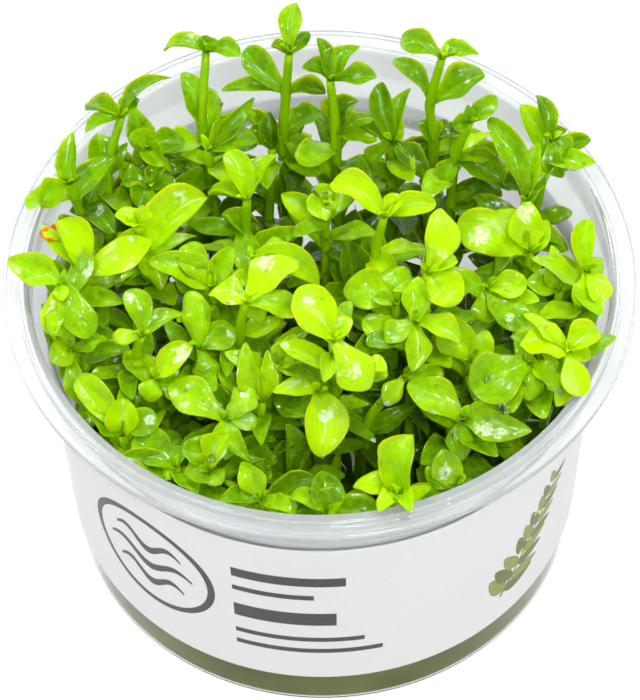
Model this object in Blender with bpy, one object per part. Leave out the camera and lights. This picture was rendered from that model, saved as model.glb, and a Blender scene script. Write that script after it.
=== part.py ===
"""Open cup of lemon bacopa plantlets: clear flanged cup, paper sleeve, gel and the plantlets rooted in it.

Lengths are in millimetres and turn into metres where a mesh is made.
The cup stands on the origin with its axis along +Z. The photograph looks along +Y and down.
"""

import math
from collections import namedtuple

import bmesh
import bpy
from mathutils import Vector
from mathutils.bvhtree import BVHTree

MM = 0.001
GAP = 0.3  # between pieces that touch

# Cup. The flange's outside diameter sets the scale.
FLANGE_RADIUS = 50.0
RIM_HEIGHT = 61.65
RIM_RADIUS = 45.3
WALL = 1.0
FOOT_RADIUS = 39.6
LOWER_WALL_RADIUS = 41.09
UPPER_WALL_RADIUS = 43.4
MOUTH_RADIUS = 46.2
CUP_SEGMENTS = 44

# Paper sleeve around the cup's wall.
LABEL_BOTTOM = 8.64
LABEL_TOP = 48.59
LABEL_THICKNESS = 0.25

# Gel in the bottom of the cup.
GEL_TOP = 13.0
GEL_BOTTOM = 2.0

# Plantlets.
STEM_TOP_RADIUS = 0.6
STEM_FOOT_RADIUS = 0.95
STEM_SIDES = 4
BUD_LENGTH = 1.2
ROOT_CIRCLE = 37.0
ROOT_SPREAD = 0.94  # of the lowest listed node's distance from the axis
ROOT_SPACING = 3.8
LEAF_KEEL = 0.5
LEAF_FOLD = 0.12
LEAF_ARCH = 0.08
LEAF_REACH = 49.7
# Stations of a blade's outline by its least width: way along the blade, share of its half width.
LEAF_STATIONS = (
    (6.4, ((0.0, 0.24), (0.38, 0.80), (0.68, 1.0), (0.9, 0.64))),
    (5.0, ((0.0, 0.26), (0.45, 0.92), (0.8, 0.86))),
    (0.0, ((0.0, 0.3), (0.58, 1.0))),
)
LOW_PAIR_DROP = 8.0  # along the stem, from the lowest listed node to the pair under it
LOW_PAIR_STEP = 0.4  # the second leaf of a pair sits this much lower
LOW_PAIR_TURN = 67  # degrees from one plantlet's pair to the next one's
LOW_PAIR_SPREAD = 171
LOW_LEAF_LENGTH = 9.5
LOW_LEAF_WIDTH = 4.8
LOW_LEAF_RISE = 0.5
LOW_LEAF_ROOT = 0.35  # a low leaf starts this far past the stem's middle, so that the two of a pair cross

# The camera that took the photograph, measured on the cup's rim, sleeve and foot.
PHOTO_CENTRE = (320, 350)
PHOTO_FOCAL = 4672.5  # pixels
VIEW_TARGET = Vector((-0.27, 0.0, 40.8))
VIEW_DISTANCE = 750.0
VIEW_ELEVATION = math.radians(54.05)
VIEW_ROLL = math.radians(-1.16)

# px and py are the photograph's pixels. A leaf's rise is how far its tip stands above its node, and
# its turn rolls the blade about its own length.
Leaf = namedtuple("Leaf", "px py rise width turn arch", defaults=(0, LEAF_ARCH))
Node = namedtuple("Node", "px py height leaves")

# Each plantlet's nodes from the top one down, placed where the photograph shows them.
PLANTLETS = {
    "plantlet_back_1": [
        Node(206, 52, 77, [Leaf(160, 45, 1, 4.6, 0, 0.2), Leaf(243, 52, 0, 4.2, 0, 0.1),
                           Leaf(201, 36, 2, 2.6), Leaf(218, 41, 2, 2.8)]),
        Node(202, 126, 66, [Leaf(190, 70, 8, 5.2)]),
    ],
    "plantlet_back_2": [
        Node(289, 54, 80, [Leaf(293, 2, 6, 4.6), Leaf(271, 45, 1, 2.6), Leaf(309, 31, 3, 3.0)]),
        Node(286, 94, 71, [Leaf(244, 47, 4, 5.6), Leaf(221, 90, 0, 3.2), Leaf(326, 93, 1, 4.0)]),
        Node(283, 138, 62, [Leaf(322, 112, 4, 7.0), Leaf(318, 160, -2, 5.0)]),
    ],
    "plantlet_back_3": [
        Node(330, 80, 76, [Leaf(358, 43, 4, 5.2), Leaf(379, 72, 1, 4.6), Leaf(302, 66, 2, 3.6),
                           Leaf(318, 37, 5, 3.4)]),
        Node(336, 132, 66, [Leaf(378, 139, 0, 4.8), Leaf(358, 100, 4, 5.6), Leaf(374, 118, 2, 4.0)]),
    ],
    "plantlet_back_4": [
        Node(393, 142, 64, [Leaf(380, 82, 7, 4.6), Leaf(411, 88, 6, 3.8), Leaf(368, 167, -3, 4.0),
                            Leaf(428, 178, -2, 5.0), Leaf(350, 127, 1, 4.0)]),
    ],
    "plantlet_back_5": [
        Node(442, 58, 81, [Leaf(397, 35, 2, 5.6), Leaf(462, 41, 1, 3.0), Leaf(480, 53, 0, 3.6)]),
        Node(430, 104, 71, [Leaf(389, 54, 6, 3.8, 0, 0.18), Leaf(484, 72, 5, 7.2)]),
        Node(434, 140, 63, [Leaf(419, 121, 3, 5.0), Leaf(462, 134, 1, 4.0)]),
    ],
    "plantlet_back_6": [
        Node(470, 122, 73, [Leaf(498, 98, 2, 4.0), Leaf(453, 128, 0, 3.4), Leaf(467, 105, 3, 2.6)]),
        Node(455, 160, 65, [Leaf(506, 150, 2, 4.4), Leaf(512, 190, -2, 6.0), Leaf(444, 184, -2, 4.4)]),
    ],
    "plantlet_back_7": [
        Node(208, 150, 66, [Leaf(257, 97, 5, 3.8, 50), Leaf(256, 112, 3, 4.4), Leaf(258, 138, 1, 6.4)]),
    ],
    "plantlet_back_8": [
        Node(247, 200, 71, [Leaf(229, 149, 6, 5.0), Leaf(277, 155, 5, 5.0), Leaf(208, 194, 0, 3.8)]),
        Node(246, 236, 62, [Leaf(190, 225, 2, 3.8), Leaf(222, 214, 4, 4.4)]),
    ],
    "plantlet_back_9": [
        Node(272, 148, 61, [Leaf(267, 113, 5, 4.2), Leaf(250, 128, 3, 4.4)]),
    ],
    "plantlet_back_left_1": [
        Node(121, 117, 72, [Leaf(168, 69, 4, 3.8), Leaf(85, 107, 0, 3.8), Leaf(80, 127, -1, 3.4),
                            Leaf(137, 95, 2, 4.2)]),
        Node(107, 176, 62, [Leaf(103, 131, 5, 6.6), Leaf(128, 142, 4, 3.4), Leaf(89, 203, -2, 3.6)]),
    ],
    "plantlet_back_left_2": [
        Node(68, 184, 66, [Leaf(74, 131, 6, 5.0), Leaf(92, 164, 2, 3.0), Leaf(41, 207, 0, 5.4)]),
    ],
    "plantlet_back_left_3": [
        Node(147, 148, 66, [Leaf(186, 142, 1, 5.2), Leaf(128, 138, 2, 4.2), Leaf(165, 166, -1, 4.4)]),
    ],
    "plantlet_back_left_4": [
        Node(150, 186, 63, [Leaf(119, 184, 1, 5.8), Leaf(161, 162, 3, 4.0), Leaf(138, 207, -1, 5.2),
                            Leaf(176, 184, 1, 4.2)]),
    ],
    "plantlet_back_right_1": [
        Node(526, 200, 67, [Leaf(486, 116, 7, 5.4, 0, 0.14), Leaf(538, 142, 6, 4.6), Leaf(547, 175, 3, 4.0)]),
    ],
    "plantlet_back_right_2": [
        Node(552, 140, 69, [Leaf(539, 93, 5, 4.2), Leaf(567, 127, 1, 3.6), Leaf(558, 178, -2, 4.4),
                            Leaf(569, 153, -1, 3.8)]),
    ],
    "plantlet_left_1": [
        Node(86, 272, 63, [Leaf(58, 222, 4, 6.0), Leaf(157, 242, 3, 7.4), Leaf(42, 226, 2, 3.0)]),
    ],
    "plantlet_left_2": [
        Node(62, 284, 66, [Leaf(8, 259, 1, 5.8), Leaf(60, 298, 1, 2.6), Leaf(54, 336, -4, 4.6),
                           Leaf(90, 338, -4, 5.4)]),
    ],
    "plantlet_left_3": [
        Node(72, 350, 59, [Leaf(106, 337, 2, 3.8), Leaf(50, 328, 2, 3.4), Leaf(51, 362, 0, 4.8),
                           Leaf(88, 406, -3, 3.6)]),
    ],
    "plantlet_left_4": [
        Node(138, 226, 69, [Leaf(115, 215, 1, 3.2), Leaf(151, 213, 1, 3.2), Leaf(132, 208, 2, 3.0)]),
        Node(146, 252, 62, [Leaf(207, 197, 6, 7.0), Leaf(118, 238, 3, 5.6), Leaf(160, 290, -2, 5.0)]),
    ],
    "plantlet_left_5": [
        Node(142, 336, 64, [Leaf(129, 289, 5, 4.4), Leaf(111, 331, 0, 3.4), Leaf(187, 311, 2, 3.6)]),
        Node(138, 356, 58, [Leaf(146, 383, 0, 5.6), Leaf(124, 366, 1, 4.0)]),
    ],
    "plantlet_left_6": [
        Node(157, 379, 60, [Leaf(192, 344, 3, 4.8), Leaf(146, 401, -1, 4.4), Leaf(188, 403, 0, 5.0)]),
    ],
    "plantlet_left_7": [
        Node(213, 288, 63, [Leaf(148, 262, 3, 5.8), Leaf(232, 247, 5, 3.8), Leaf(186, 243, 4, 5.0)]),
    ],
    "plantlet_middle_1": [
        Node(246, 302, 69, [Leaf(208, 292, 1, 5.4), Leaf(296, 260, 3, 6.4), Leaf(298, 313, -1, 4.2)]),
        Node(240, 334, 60.5, [Leaf(203, 328, 0, 3.8), Leaf(281, 320, 2, 3.8)]),
    ],
    "plantlet_middle_2": [
        Node(252, 258, 68, [Leaf(297, 240, 2, 5.2), Leaf(325, 286, -2, 5.2, 4, 0.18)]),
    ],
    "plantlet_middle_3": [
        Node(334, 340, 72, [Leaf(300, 288, 4, 7.4), Leaf(375, 387, -3, 7.2), Leaf(352, 318, 2, 3.6)]),
    ],
    "plantlet_middle_4": [
        Node(200, 348, 61, [Leaf(184, 290, 6, 4.8), Leaf(236, 336, 2, 4.0), Leaf(214, 386, -3, 4.4)]),
    ],
    "plantlet_middle_5": [
        Node(277, 366, 64, [Leaf(309, 353, 2, 3.8), Leaf(316, 373, 0, 3.6), Leaf(296, 334, 3, 4.0)]),
    ],
    "plantlet_middle_6": [
        Node(262, 402, 59, [Leaf(243, 343, 8, 4.8), Leaf(268, 350, 7, 3.4)]),
    ],
    "plantlet_middle_7": [
        Node(320, 392, 62, [Leaf(320, 457, -3, 7.0), Leaf(272, 392, 0, 3.4)]),
    ],
    "plantlet_middle_8": [
        Node(325, 204, 66, [Leaf(308, 211, 1, 5.0), Leaf(329, 184, 2, 4.2), Leaf(342, 203, 1, 3.8)]),
    ],
    "plantlet_middle_9": [
        Node(352, 296, 54, [Leaf(346, 241, 7, 5.2), Leaf(320, 300, 2, 4.6)]),
    ],
    "plantlet_right_1": [
        Node(384, 217, 69, [Leaf(332, 180, 3, 5.6), Leaf(436, 204, 2, 4.2), Leaf(404, 196, 3, 3.8)]),
        Node(375, 256, 60, [Leaf(399, 279, 0, 4.8), Leaf(424, 252, 1, 3.0)]),
    ],
    "plantlet_right_2": [
        Node(428, 274, 70, [Leaf(450, 206, 6, 6.2), Leaf(459, 303, -2, 6.6), Leaf(457, 261, 1, 3.0)]),
    ],
    "plantlet_right_3": [
        Node(396, 304, 63, [Leaf(341, 291, 2, 6.8), Leaf(372, 298, 3, 3.0)]),
    ],
    "plantlet_right_4": [
        Node(415, 322, 66, [Leaf(386, 343, -1, 4.4), Leaf(459, 343, -1, 4.0), Leaf(411, 371, -4, 4.4),
                            Leaf(418, 276, 4, 4.8)]),
    ],
    "plantlet_right_5": [
        Node(530, 252, 63, [Leaf(528, 201, 5, 6.0), Leaf(456, 224, 3, 7.6), Leaf(490, 278, -2, 4.6, 40),
                            Leaf(548, 218, 3, 4.6)]),
    ],
    "plantlet_right_6": [
        Node(488, 288, 64, [Leaf(524, 333, -2, 6.2), Leaf(527, 286, 1, 4.6), Leaf(484, 322, -3, 4.6)]),
    ],
    "plantlet_right_7": [
        Node(560, 290, 60, [Leaf(554, 244, 6, 5.0), Leaf(526, 282, 2, 4.8), Leaf(575, 268, 3, 3.2)]),
    ],
    "plantlet_right_8": [
        Node(587, 272, 66, [Leaf(588, 219, 5, 3.8), Leaf(601, 303, -1, 4.4), Leaf(580, 306, -2, 4.0)]),
    ],
    "plantlet_right_9": [
        Node(568, 350, 65, [Leaf(523, 317, 2, 3.6), Leaf(520, 346, 1, 7.0), Leaf(600, 334, 1, 4.8),
                            Leaf(582, 396, -2, 4.6), Leaf(592, 356, -1, 4.0)]),
    ],
    "plantlet_right_10": [
        Node(529, 362, 64, [Leaf(472, 391, -1, 8.6), Leaf(560, 388, -2, 4.6), Leaf(532, 402, -3, 3.8)]),
    ],
    "plantlet_right_11": [
        Node(470, 362, 60, [Leaf(440, 310, 4, 6.6), Leaf(488, 330, 3, 4.4)]),
    ],
    "plantlet_right_12": [
        Node(404, 378, 60, [Leaf(444, 373, 1, 3.4, 40), Leaf(388, 408, -2, 3.6)]),
        Node(368, 422, 50, []),
    ],
    "plantlet_front_1": [
        Node(121, 434, 57, [Leaf(88, 414, 2, 4.2), Leaf(156, 416, 2, 4.6), Leaf(79, 377, 4, 4.8),
                            Leaf(123, 398, 4, 5.4)]),
    ],
    "plantlet_front_2": [
        Node(176, 468, 55, [Leaf(137, 434, 3, 6.0), Leaf(181, 446, 2, 3.6), Leaf(157, 477, 0, 3.0)]),
    ],
    "plantlet_front_3": [
        Node(210, 472, 57, [Leaf(192, 438, 3, 5.8), Leaf(229, 435, 3, 4.6), Leaf(184, 472, 1, 5.4),
                            Leaf(222, 484, 0, 3.8)]),
    ],
    "plantlet_front_4": [
        Node(227, 420, 59, [Leaf(250, 386, 3, 4.8), Leaf(257, 424, 0, 3.2), Leaf(168, 380, 2, 6.4),
                            Leaf(226, 460, -3, 4.6)]),
    ],
    "plantlet_front_5": [
        Node(262, 499, 56, [Leaf(241, 462, 4, 4.4), Leaf(296, 512, -1, 3.8), Leaf(219, 499, 0, 3.8)]),
    ],
    "plantlet_front_6": [
        Node(268, 474, 52, [Leaf(229, 451, 3, 6.0), Leaf(268, 446, 2, 4.0)]),
    ],
    "plantlet_front_7": [
        Node(326, 512, 55, [Leaf(322, 471, 5, 5.4), Leaf(346, 493, 3, 4.6), Leaf(382, 508, 0, 4.2),
                            Leaf(288, 498, 1, 3.8)]),
    ],
    "plantlet_front_8": [
        Node(287, 480, 50, [Leaf(285, 424, 9, 4.8), Leaf(308, 440, 6, 4.6)]),
    ],
    "plantlet_front_9": [
        Node(400, 494, 61, [Leaf(411, 434, 7, 5.8), Leaf(354, 477, 2, 4.6), Leaf(412, 511, 2, 3.8),
                            Leaf(378, 509, 2, 3.6)]),
    ],
    "plantlet_front_10": [
        Node(463, 420, 58, [Leaf(408, 383, 3, 6.4), Leaf(532, 431, 0, 5.6), Leaf(500, 398, 2, 4.0),
                            Leaf(466, 462, -3, 4.6)]),
    ],
    "plantlet_front_11": [
        Node(455, 486, 52, [Leaf(442, 449, 5, 5.4), Leaf(425, 470, 3, 3.4)]),
    ],
    "plantlet_front_12": [
        Node(505, 420, 49, [Leaf(548, 398, 3, 5.6), Leaf(480, 450, 0, 5.6)]),
    ],
}

WITHERED_LEAF = (Node(71, 233, 63.0, []), Leaf(40, 235, 0.2, 2.8, 0, 0.02))


def wall_radius(height):
    """Outer radius of the cup's tapered wall under the sleeve."""
    taper = (UPPER_WALL_RADIUS - LOWER_WALL_RADIUS) / (LABEL_TOP - LABEL_BOTTOM)
    return LOWER_WALL_RADIUS + (height - LABEL_BOTTOM) * taper


def cup_profile():
    """Radius and height of the cup's outline, from the axis underneath, up the outside and down the inside."""
    lip_radius = FLANGE_RADIUS
    outside = [
        (0, 0), (FOOT_RADIUS, 0), (wall_radius(1.6), 1.5),
        (wall_radius(52.4), 52.4), (45.9, 55.2), (MOUTH_RADIUS, 59.8),
        (lip_radius, 59.8), (lip_radius, 60.9), (49.6, 61.2),
        (47.7, 61.1), (47.3, RIM_HEIGHT), (RIM_RADIUS, RIM_HEIGHT),
    ]
    inside = [
        (MOUTH_RADIUS - WALL, 59.5), (45.9 - WALL, 55.5), (wall_radius(52.4) - WALL, 52.7),
        (wall_radius(3.4) - WALL, 3.4), (FOOT_RADIUS - 1.4, 1.7), (0, 1.7),
    ]
    return outside + inside


def material(name, colour, roughness, alpha=1.0, transmission=0.0):
    mat = bpy.data.materials.new(name)
    mat.use_nodes = True
    shader = mat.node_tree.nodes["Principled BSDF"]
    shader.inputs["Base Color"].default_value = (*colour, 1.0)
    shader.inputs["Roughness"].default_value = roughness
    shader.inputs["Metallic"].default_value = 0.0
    shader.inputs["Alpha"].default_value = alpha
    shader.inputs["Transmission Weight"].default_value = transmission
    return mat


def new_object(name, verts, faces, mat, smooth_angle=None):
    """A mesh object from points in millimetres, with its faces turned outward."""
    mesh = bpy.data.meshes.new(name)
    mesh.from_pydata([Vector(v) * MM for v in verts], [], faces)
    bm = bmesh.new()
    bm.from_mesh(mesh)
    bmesh.ops.recalc_face_normals(bm, faces=bm.faces)
    bm.to_mesh(mesh)
    bm.free()
    mesh.materials.append(mat)
    if smooth_angle:
        mesh.shade_smooth()
        mesh.set_sharp_from_angle(angle=math.radians(smooth_angle))
    obj = bpy.data.objects.new(name, mesh)
    bpy.context.scene.collection.objects.link(obj)
    return obj


def turned(profile, segments, closed):
    """Points and faces of a profile turned about Z. Points on the axis are shared."""
    verts = []
    rings = []
    for radius, height in profile:
        if radius == 0:
            rings.append([len(verts)] * segments)
            verts.append(Vector((0, 0, height)))
            continue
        rings.append(range(len(verts), len(verts) + segments))
        for k in range(segments):
            angle = 2 * math.pi * k / segments
            verts.append(Vector((radius * math.cos(angle), radius * math.sin(angle), height)))
    pairs = list(zip(rings, rings[1:]))
    if closed:
        pairs.append((rings[-1], rings[0]))
    faces = []
    for low, high in pairs:
        for k in range(segments):
            nxt = (k + 1) % segments
            corners = dict.fromkeys((low[k], low[nxt], high[nxt], high[k]))
            faces.append(tuple(corners))
    return verts, faces


def view_axes():
    """Camera place and its right, up and forward directions."""
    back = Vector((0, -math.cos(VIEW_ELEVATION), math.sin(VIEW_ELEVATION)))
    forward = -back
    right = Vector((1, 0, 0))
    up = right.cross(forward)
    rolled_right = right * math.cos(VIEW_ROLL) + up * math.sin(VIEW_ROLL)
    rolled_up = up * math.cos(VIEW_ROLL) - right * math.sin(VIEW_ROLL)
    return VIEW_TARGET + back * VIEW_DISTANCE, rolled_right, rolled_up, forward


CAMERA, VIEW_RIGHT, VIEW_UP, VIEW_FORWARD = view_axes()


def from_photo(px, py, height):
    """Point at a height in the cup's space that shows at a pixel of the photograph."""
    across = (px - PHOTO_CENTRE[0]) / PHOTO_FOCAL
    upward = (PHOTO_CENTRE[1] - py) / PHOTO_FOCAL
    sight = VIEW_FORWARD + VIEW_RIGHT * across + VIEW_UP * upward
    return CAMERA + sight * ((height - CAMERA.z) / sight.z)


class Space:
    """Pieces placed so far, to keep the gap between new ones and them."""

    def __init__(self):
        self.taken = []

    def add(self, owner, verts, faces):
        self.taken.append((owner, *box_of(verts), BVHTree.FromPolygons(verts, faces)))

    def is_free(self, owner, verts, faces):
        low, high = box_of(verts)
        near = [tree for name, lo, hi, tree in self.taken
                if name != owner and all(low[i] <= hi[i] and high[i] >= lo[i] for i in range(3))]
        if not near:
            return True
        tree = BVHTree.FromPolygons(verts, faces)
        return not any(tree.overlap(other) for other in near)


def box_of(verts):
    low = [min(v[i] for v in verts) for i in range(3)]
    high = [max(v[i] for v in verts) for i in range(3)]
    return low, high


def tube(points, radii, grow=0.0):
    """Stem: a square tube along points, pointed at its top end, grown on all sides for gap tests."""
    verts = []
    last = len(points) - 1
    for k, (point, radius) in enumerate(zip(points, radii)):
        along = (points[min(k + 1, last)] - points[max(k - 1, 0)]).normalized()
        side = along.cross(Vector((0.2, 1, 0))).normalized()
        other = along.cross(side)
        for turn in range(STEM_SIDES):
            angle = 2 * math.pi * turn / STEM_SIDES
            spoke = side * math.cos(angle) + other * math.sin(angle)
            verts.append(point + spoke * (radius + grow))
    faces = [tuple(range(STEM_SIDES))]
    for k in range(last):
        for turn in range(STEM_SIDES):
            nxt = (turn + 1) % STEM_SIDES
            low = k * STEM_SIDES
            high = low + STEM_SIDES
            faces.append((low + turn, low + nxt, high + nxt, high + turn))
    tip = len(verts)
    verts.append(points[-1] + (points[-1] - points[-2]).normalized() * (BUD_LENGTH + grow))
    for turn in range(STEM_SIDES):
        faces.append((last * STEM_SIDES + turn, last * STEM_SIDES + (turn + 1) % STEM_SIDES, tip))
    return verts, faces


Blade = namedtuple("Blade", "base tip facing width arch")


def blade_frame(blade, along):
    """Midline point, side direction and upward direction of a blade at a share of its length."""
    span = blade.tip - blade.base
    lift = blade.facing * blade.arch * span.length * 4
    side = span.cross(blade.facing).normalized()
    point = blade.base + span * along + lift * along * (1 - along)
    up = side.cross(span + lift * (1 - 2 * along)).normalized()
    return point, side, up


def blade_solid(blade, grow=0.0):
    """Leaf: two edges and a keel through a few stations, ending in a point, or a grown box for gap tests."""
    verts = []
    stations = next(rows for least, rows in LEAF_STATIONS if blade.width >= least)
    for along, share in stations:
        point, side, up = blade_frame(blade, along)
        half = blade.width / 2 * share
        fold = up * LEAF_FOLD * half
        keel = point - up * (LEAF_KEEL * (0.7 + 0.3 * share) + grow)
        if grow:
            wide = side * (half + grow)
            verts += [point - wide + fold + up * grow, point + wide + fold + up * grow,
                      point + wide + fold - up * grow, keel, point - wide + fold - up * grow]
        else:
            verts += [point - side * half + fold, point + side * half + fold, keel]
    count = len(verts) // len(stations)
    faces = [tuple(range(count))]
    for k in range(len(stations) - 1):
        for turn in range(count):
            nxt = (turn + 1) % count
            low = k * count
            high = low + count
            faces.append((low + turn, low + nxt, high + nxt, high + turn))
    start = (len(stations) - 1) * count
    point = blade_frame(blade, 1.0)[0]
    verts.append(point + (blade.tip - blade.base).normalized() * grow)
    for turn in range(count):
        faces.append((start + turn, start + (turn + 1) % count, len(verts) - 1))
    return verts, faces


def perpendicular(direction, along):
    return (direction - along * direction.dot(along)).normalized()


def rolled(direction, axis, degrees):
    turn = math.radians(degrees)
    return direction * math.cos(turn) + axis.cross(direction) * math.sin(turn)


def leaf_blade(base, stem_way, leaf, depth=0.0, shrink=1.0, roll=0.0):
    """Blade of a listed leaf, with its tip slid along the line of sight, its size and its roll changed a little."""
    tip = nearer(from_photo(leaf.px, leaf.py, base.z + leaf.rise), depth)
    tip = base + (tip - base) * shrink ** 0.5
    axis = (tip - base).normalized()
    facing = perpendicular(stem_way * 0.5 + Vector((0, 0, 0.6)) - VIEW_FORWARD * 0.4, axis)
    return Blade(base, tip, rolled(facing, axis, leaf.turn + roll), leaf.width * shrink, leaf.arch)


def trials():
    """Small changes to a leaf, the least first: depth along the line of sight, size and roll."""
    steps = [(depth, shrink, roll) for depth in (0, 1, -1, 2, -2, 3, -3, 4.5, -4.5, 6, -6)
             for shrink in (1, 0.85, 0.7, 0.55) for roll in (0, 18, -18, 36, -36)]
    return sorted(steps, key=lambda s: abs(s[0]) + (1 - s[1]) * 14 + abs(s[2]) * 0.06)


def within_reach(verts):
    return all(math.hypot(v.x, v.y) < LEAF_REACH for v in verts)


def nearer(point, depth):
    """Point slid along the line of sight toward the camera, which keeps its place in the photograph."""
    return point + (CAMERA - point).normalized() * depth


def stem_points(nodes, foot, depth):
    """Stem from its foot on the gel to its top node, upright at the foot and leaning outward above."""
    joints = [nearer(from_photo(n.px, n.py, n.height), depth) for n in nodes]
    low = joints[-1]
    start = Vector((foot.x, foot.y, GEL_TOP + GAP))
    bend = Vector((foot.x, foot.y, GEL_TOP + (low.z - GEL_TOP) * 0.5))
    curve = [start, start * 0.42 + bend * 0.46 + low * 0.12, start * 0.12 + bend * 0.46 + low * 0.42]
    return curve + joints[::-1]


def stem_radii(count):
    return [STEM_FOOT_RADIUS + (STEM_TOP_RADIUS - STEM_FOOT_RADIUS) * k / (count - 1) for k in range(count)]


def plant_stems(space):
    """Give each plantlet a foot on the gel under its lowest node, clear of the others."""
    shifts = [Vector((0, 0))]
    for ring in (2.0, 4.0, 6.0, 8.0, 10.0):
        for k in range(10):
            angle = 2 * math.pi * (k + ring / 4) / 10
            shifts.append(Vector((math.cos(angle), math.sin(angle))) * ring)
    tries = [(depth, shift) for depth in (0, 1.5, -1.5, 3, -3) for shift in shifts]
    stems = {}
    feet = []
    for name, nodes in PLANTLETS.items():
        low = from_photo(nodes[-1].px, nodes[-1].py, nodes[-1].height).xy
        pulled = low * min(ROOT_SPREAD, ROOT_CIRCLE / max(low.length, 1))
        for depth, shift in tries:
            foot = pulled + shift
            if foot.length > ROOT_CIRCLE or any((foot - f).length < ROOT_SPACING for f in feet):
                continue
            points = stem_points(nodes, foot, depth)
            if space.is_free(name, *tube(points, stem_radii(len(points)), GAP)):
                break
        else:
            raise RuntimeError("no clear foot for " + name)
        feet.append(foot)
        stems[name] = points
        space.add(name, *tube(points, stem_radii(len(points))))
    return stems


def place_leaf(space, owner, candidates):
    """First candidate blade that keeps the gap, or None."""
    for blade in candidates:
        verts, faces = blade_solid(blade, GAP)
        if within_reach(verts) and space.is_free(owner, verts, faces):
            space.add(owner, *blade_solid(blade))
            return blade
    return None


def listed_leaves(stems):
    """Every listed leaf with its plantlet, base and stem direction, the nearest to the camera first."""
    found = []
    for name, nodes in PLANTLETS.items():
        points = stems[name]
        for level, node in enumerate(nodes):
            base = points[-1 - level]
            way = (base - points[-2 - level]).normalized()
            found += [(name, base, way, leaf) for leaf in node.leaves]
    return sorted(found, key=lambda item: (CAMERA - item[1]).length)


def down_stem(points, drop):
    """Place and direction on a stem's plain lower stretch, a drop below its lowest listed node."""
    for high, low in ((points[3], points[2]), (points[2], points[1]), (points[1], points[0])):
        length = (high - low).length
        if drop <= length:
            return high.lerp(low, drop / length), (high - low).normalized()
        drop -= length
    return points[0], Vector((0, 0, 1))


def low_leaf_blades(base, way, heading):
    """A low leaf at a heading, then turned and made smaller step by step."""
    for size in (1, 0.85, 0.7, 0.55):
        for turn in (0, 20, -20, 40, -40):
            angle = math.radians(heading + turn)
            out = Vector((math.cos(angle), math.sin(angle), LOW_LEAF_RISE)).normalized()
            facing = perpendicular(way + Vector((0, 0, 1)), out)
            tip = base + out * LOW_LEAF_LENGTH * size
            yield Blade(base - out * LOW_LEAF_ROOT, tip, facing, LOW_LEAF_WIDTH * size, LEAF_ARCH)


def grow_plantlets(space):
    """Stems and blades of all plantlets, with the gap kept between plantlets."""
    stems = plant_stems(space)
    blades = {name: [] for name in PLANTLETS}
    steps = trials()
    for name, base, way, leaf in listed_leaves(stems):
        blade = place_leaf(space, name, (leaf_blade(base, way, leaf, *step) for step in steps))
        if blade:
            blades[name].append(blade)
    for number, (name, points) in enumerate(stems.items()):
        heading = number * LOW_PAIR_TURN
        for drop, turn in ((LOW_PAIR_DROP, heading), (LOW_PAIR_DROP + LOW_PAIR_STEP, heading + LOW_PAIR_SPREAD)):
            base, way = down_stem(points, drop)
            blade = place_leaf(space, name, low_leaf_blades(base, way, turn))
            if blade:
                blades[name].append(blade)
    return stems, blades


def plantlet(name, points, blades, mat):
    """One plantlet: its stem with every blade joined on by a Boolean union."""
    stem = new_object(name, *tube(points, stem_radii(len(points))), mat)
    helpers = bpy.data.collections.new(name + "_blades")
    bpy.context.scene.collection.children.link(helpers)
    for blade in blades:
        helper = new_object(name + "_blade", *blade_solid(blade), mat)
        bpy.context.scene.collection.objects.unlink(helper)
        helpers.objects.link(helper)
    union = stem.modifiers.new("blades", "BOOLEAN")
    union.operation = "UNION"
    union.solver = "EXACT"
    union.operand_type = "COLLECTION"
    union.collection = helpers
    evaluated = stem.evaluated_get(bpy.context.evaluated_depsgraph_get())
    joined = bpy.data.meshes.new_from_object(evaluated)
    joined.name = name
    stem.modifiers.clear()
    stem.data = joined
    for helper in list(helpers.objects):
        bpy.data.objects.remove(helper)
    bpy.data.collections.remove(helpers)
    return stem


def main():
    for obj in list(bpy.data.objects):
        bpy.data.objects.remove(obj)
    clear_plastic = material("clear_plastic", (0.93, 0.95, 0.95), 0.12, 0.35, 0.9)
    label_paper = material("label_paper", (0.80, 0.81, 0.82), 0.45)
    gel_jelly = material("gel_jelly", (0.16, 0.19, 0.06), 0.2, 0.8, 0.3)
    leaf_green = material("leaf_green", (0.35, 0.62, 0.01), 0.3)
    withered_brown = material("withered_brown", (0.72, 0.22, 0.03), 0.6)

    space = Space()
    cup = turned(cup_profile(), CUP_SEGMENTS, False)
    space.add("cup", *cup)
    new_object("cup", *cup, clear_plastic, 30)

    sleeve = [(wall_radius(z) + offset, z) for z, offset in (
        (LABEL_BOTTOM, GAP + LABEL_THICKNESS), (LABEL_TOP, GAP + LABEL_THICKNESS),
        (LABEL_TOP, GAP), (LABEL_BOTTOM, GAP))]
    new_object("label", *turned(sleeve, CUP_SEGMENTS, True), label_paper, 30)

    inner_low = wall_radius(3.6) - WALL - GAP
    inner_high = wall_radius(GEL_TOP) - WALL - GAP
    gel = [(0, GEL_BOTTOM), (FOOT_RADIUS - 1.8, GEL_BOTTOM), (inner_low, 3.6), (inner_high, GEL_TOP), (0, GEL_TOP)]
    gel_shape = turned(gel, CUP_SEGMENTS, False)
    space.add("gel", *gel_shape)
    new_object("gel", *gel_shape, gel_jelly, 30)

    node, leaf = WITHERED_LEAF
    base = from_photo(node.px, node.py, node.height)
    withered = blade_solid(leaf_blade(base, Vector((0, 0, 1)), leaf))
    space.add("withered_leaf", *withered)
    new_object("withered_leaf", *withered, withered_brown)

    stems, blades = grow_plantlets(space)
    for name, points in stems.items():
        plantlet(name, points, blades[name], leaf_green)


main()
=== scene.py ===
"""Looks of the open cup of lemon bacopa plantlets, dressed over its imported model.

Lengths are in millimetres and turn into metres where a mesh is made.
The cup stands on the origin with its axis along +Z. The photograph looks along +Y and down.
"""

import itertools
import math
import random
from collections import namedtuple

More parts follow.
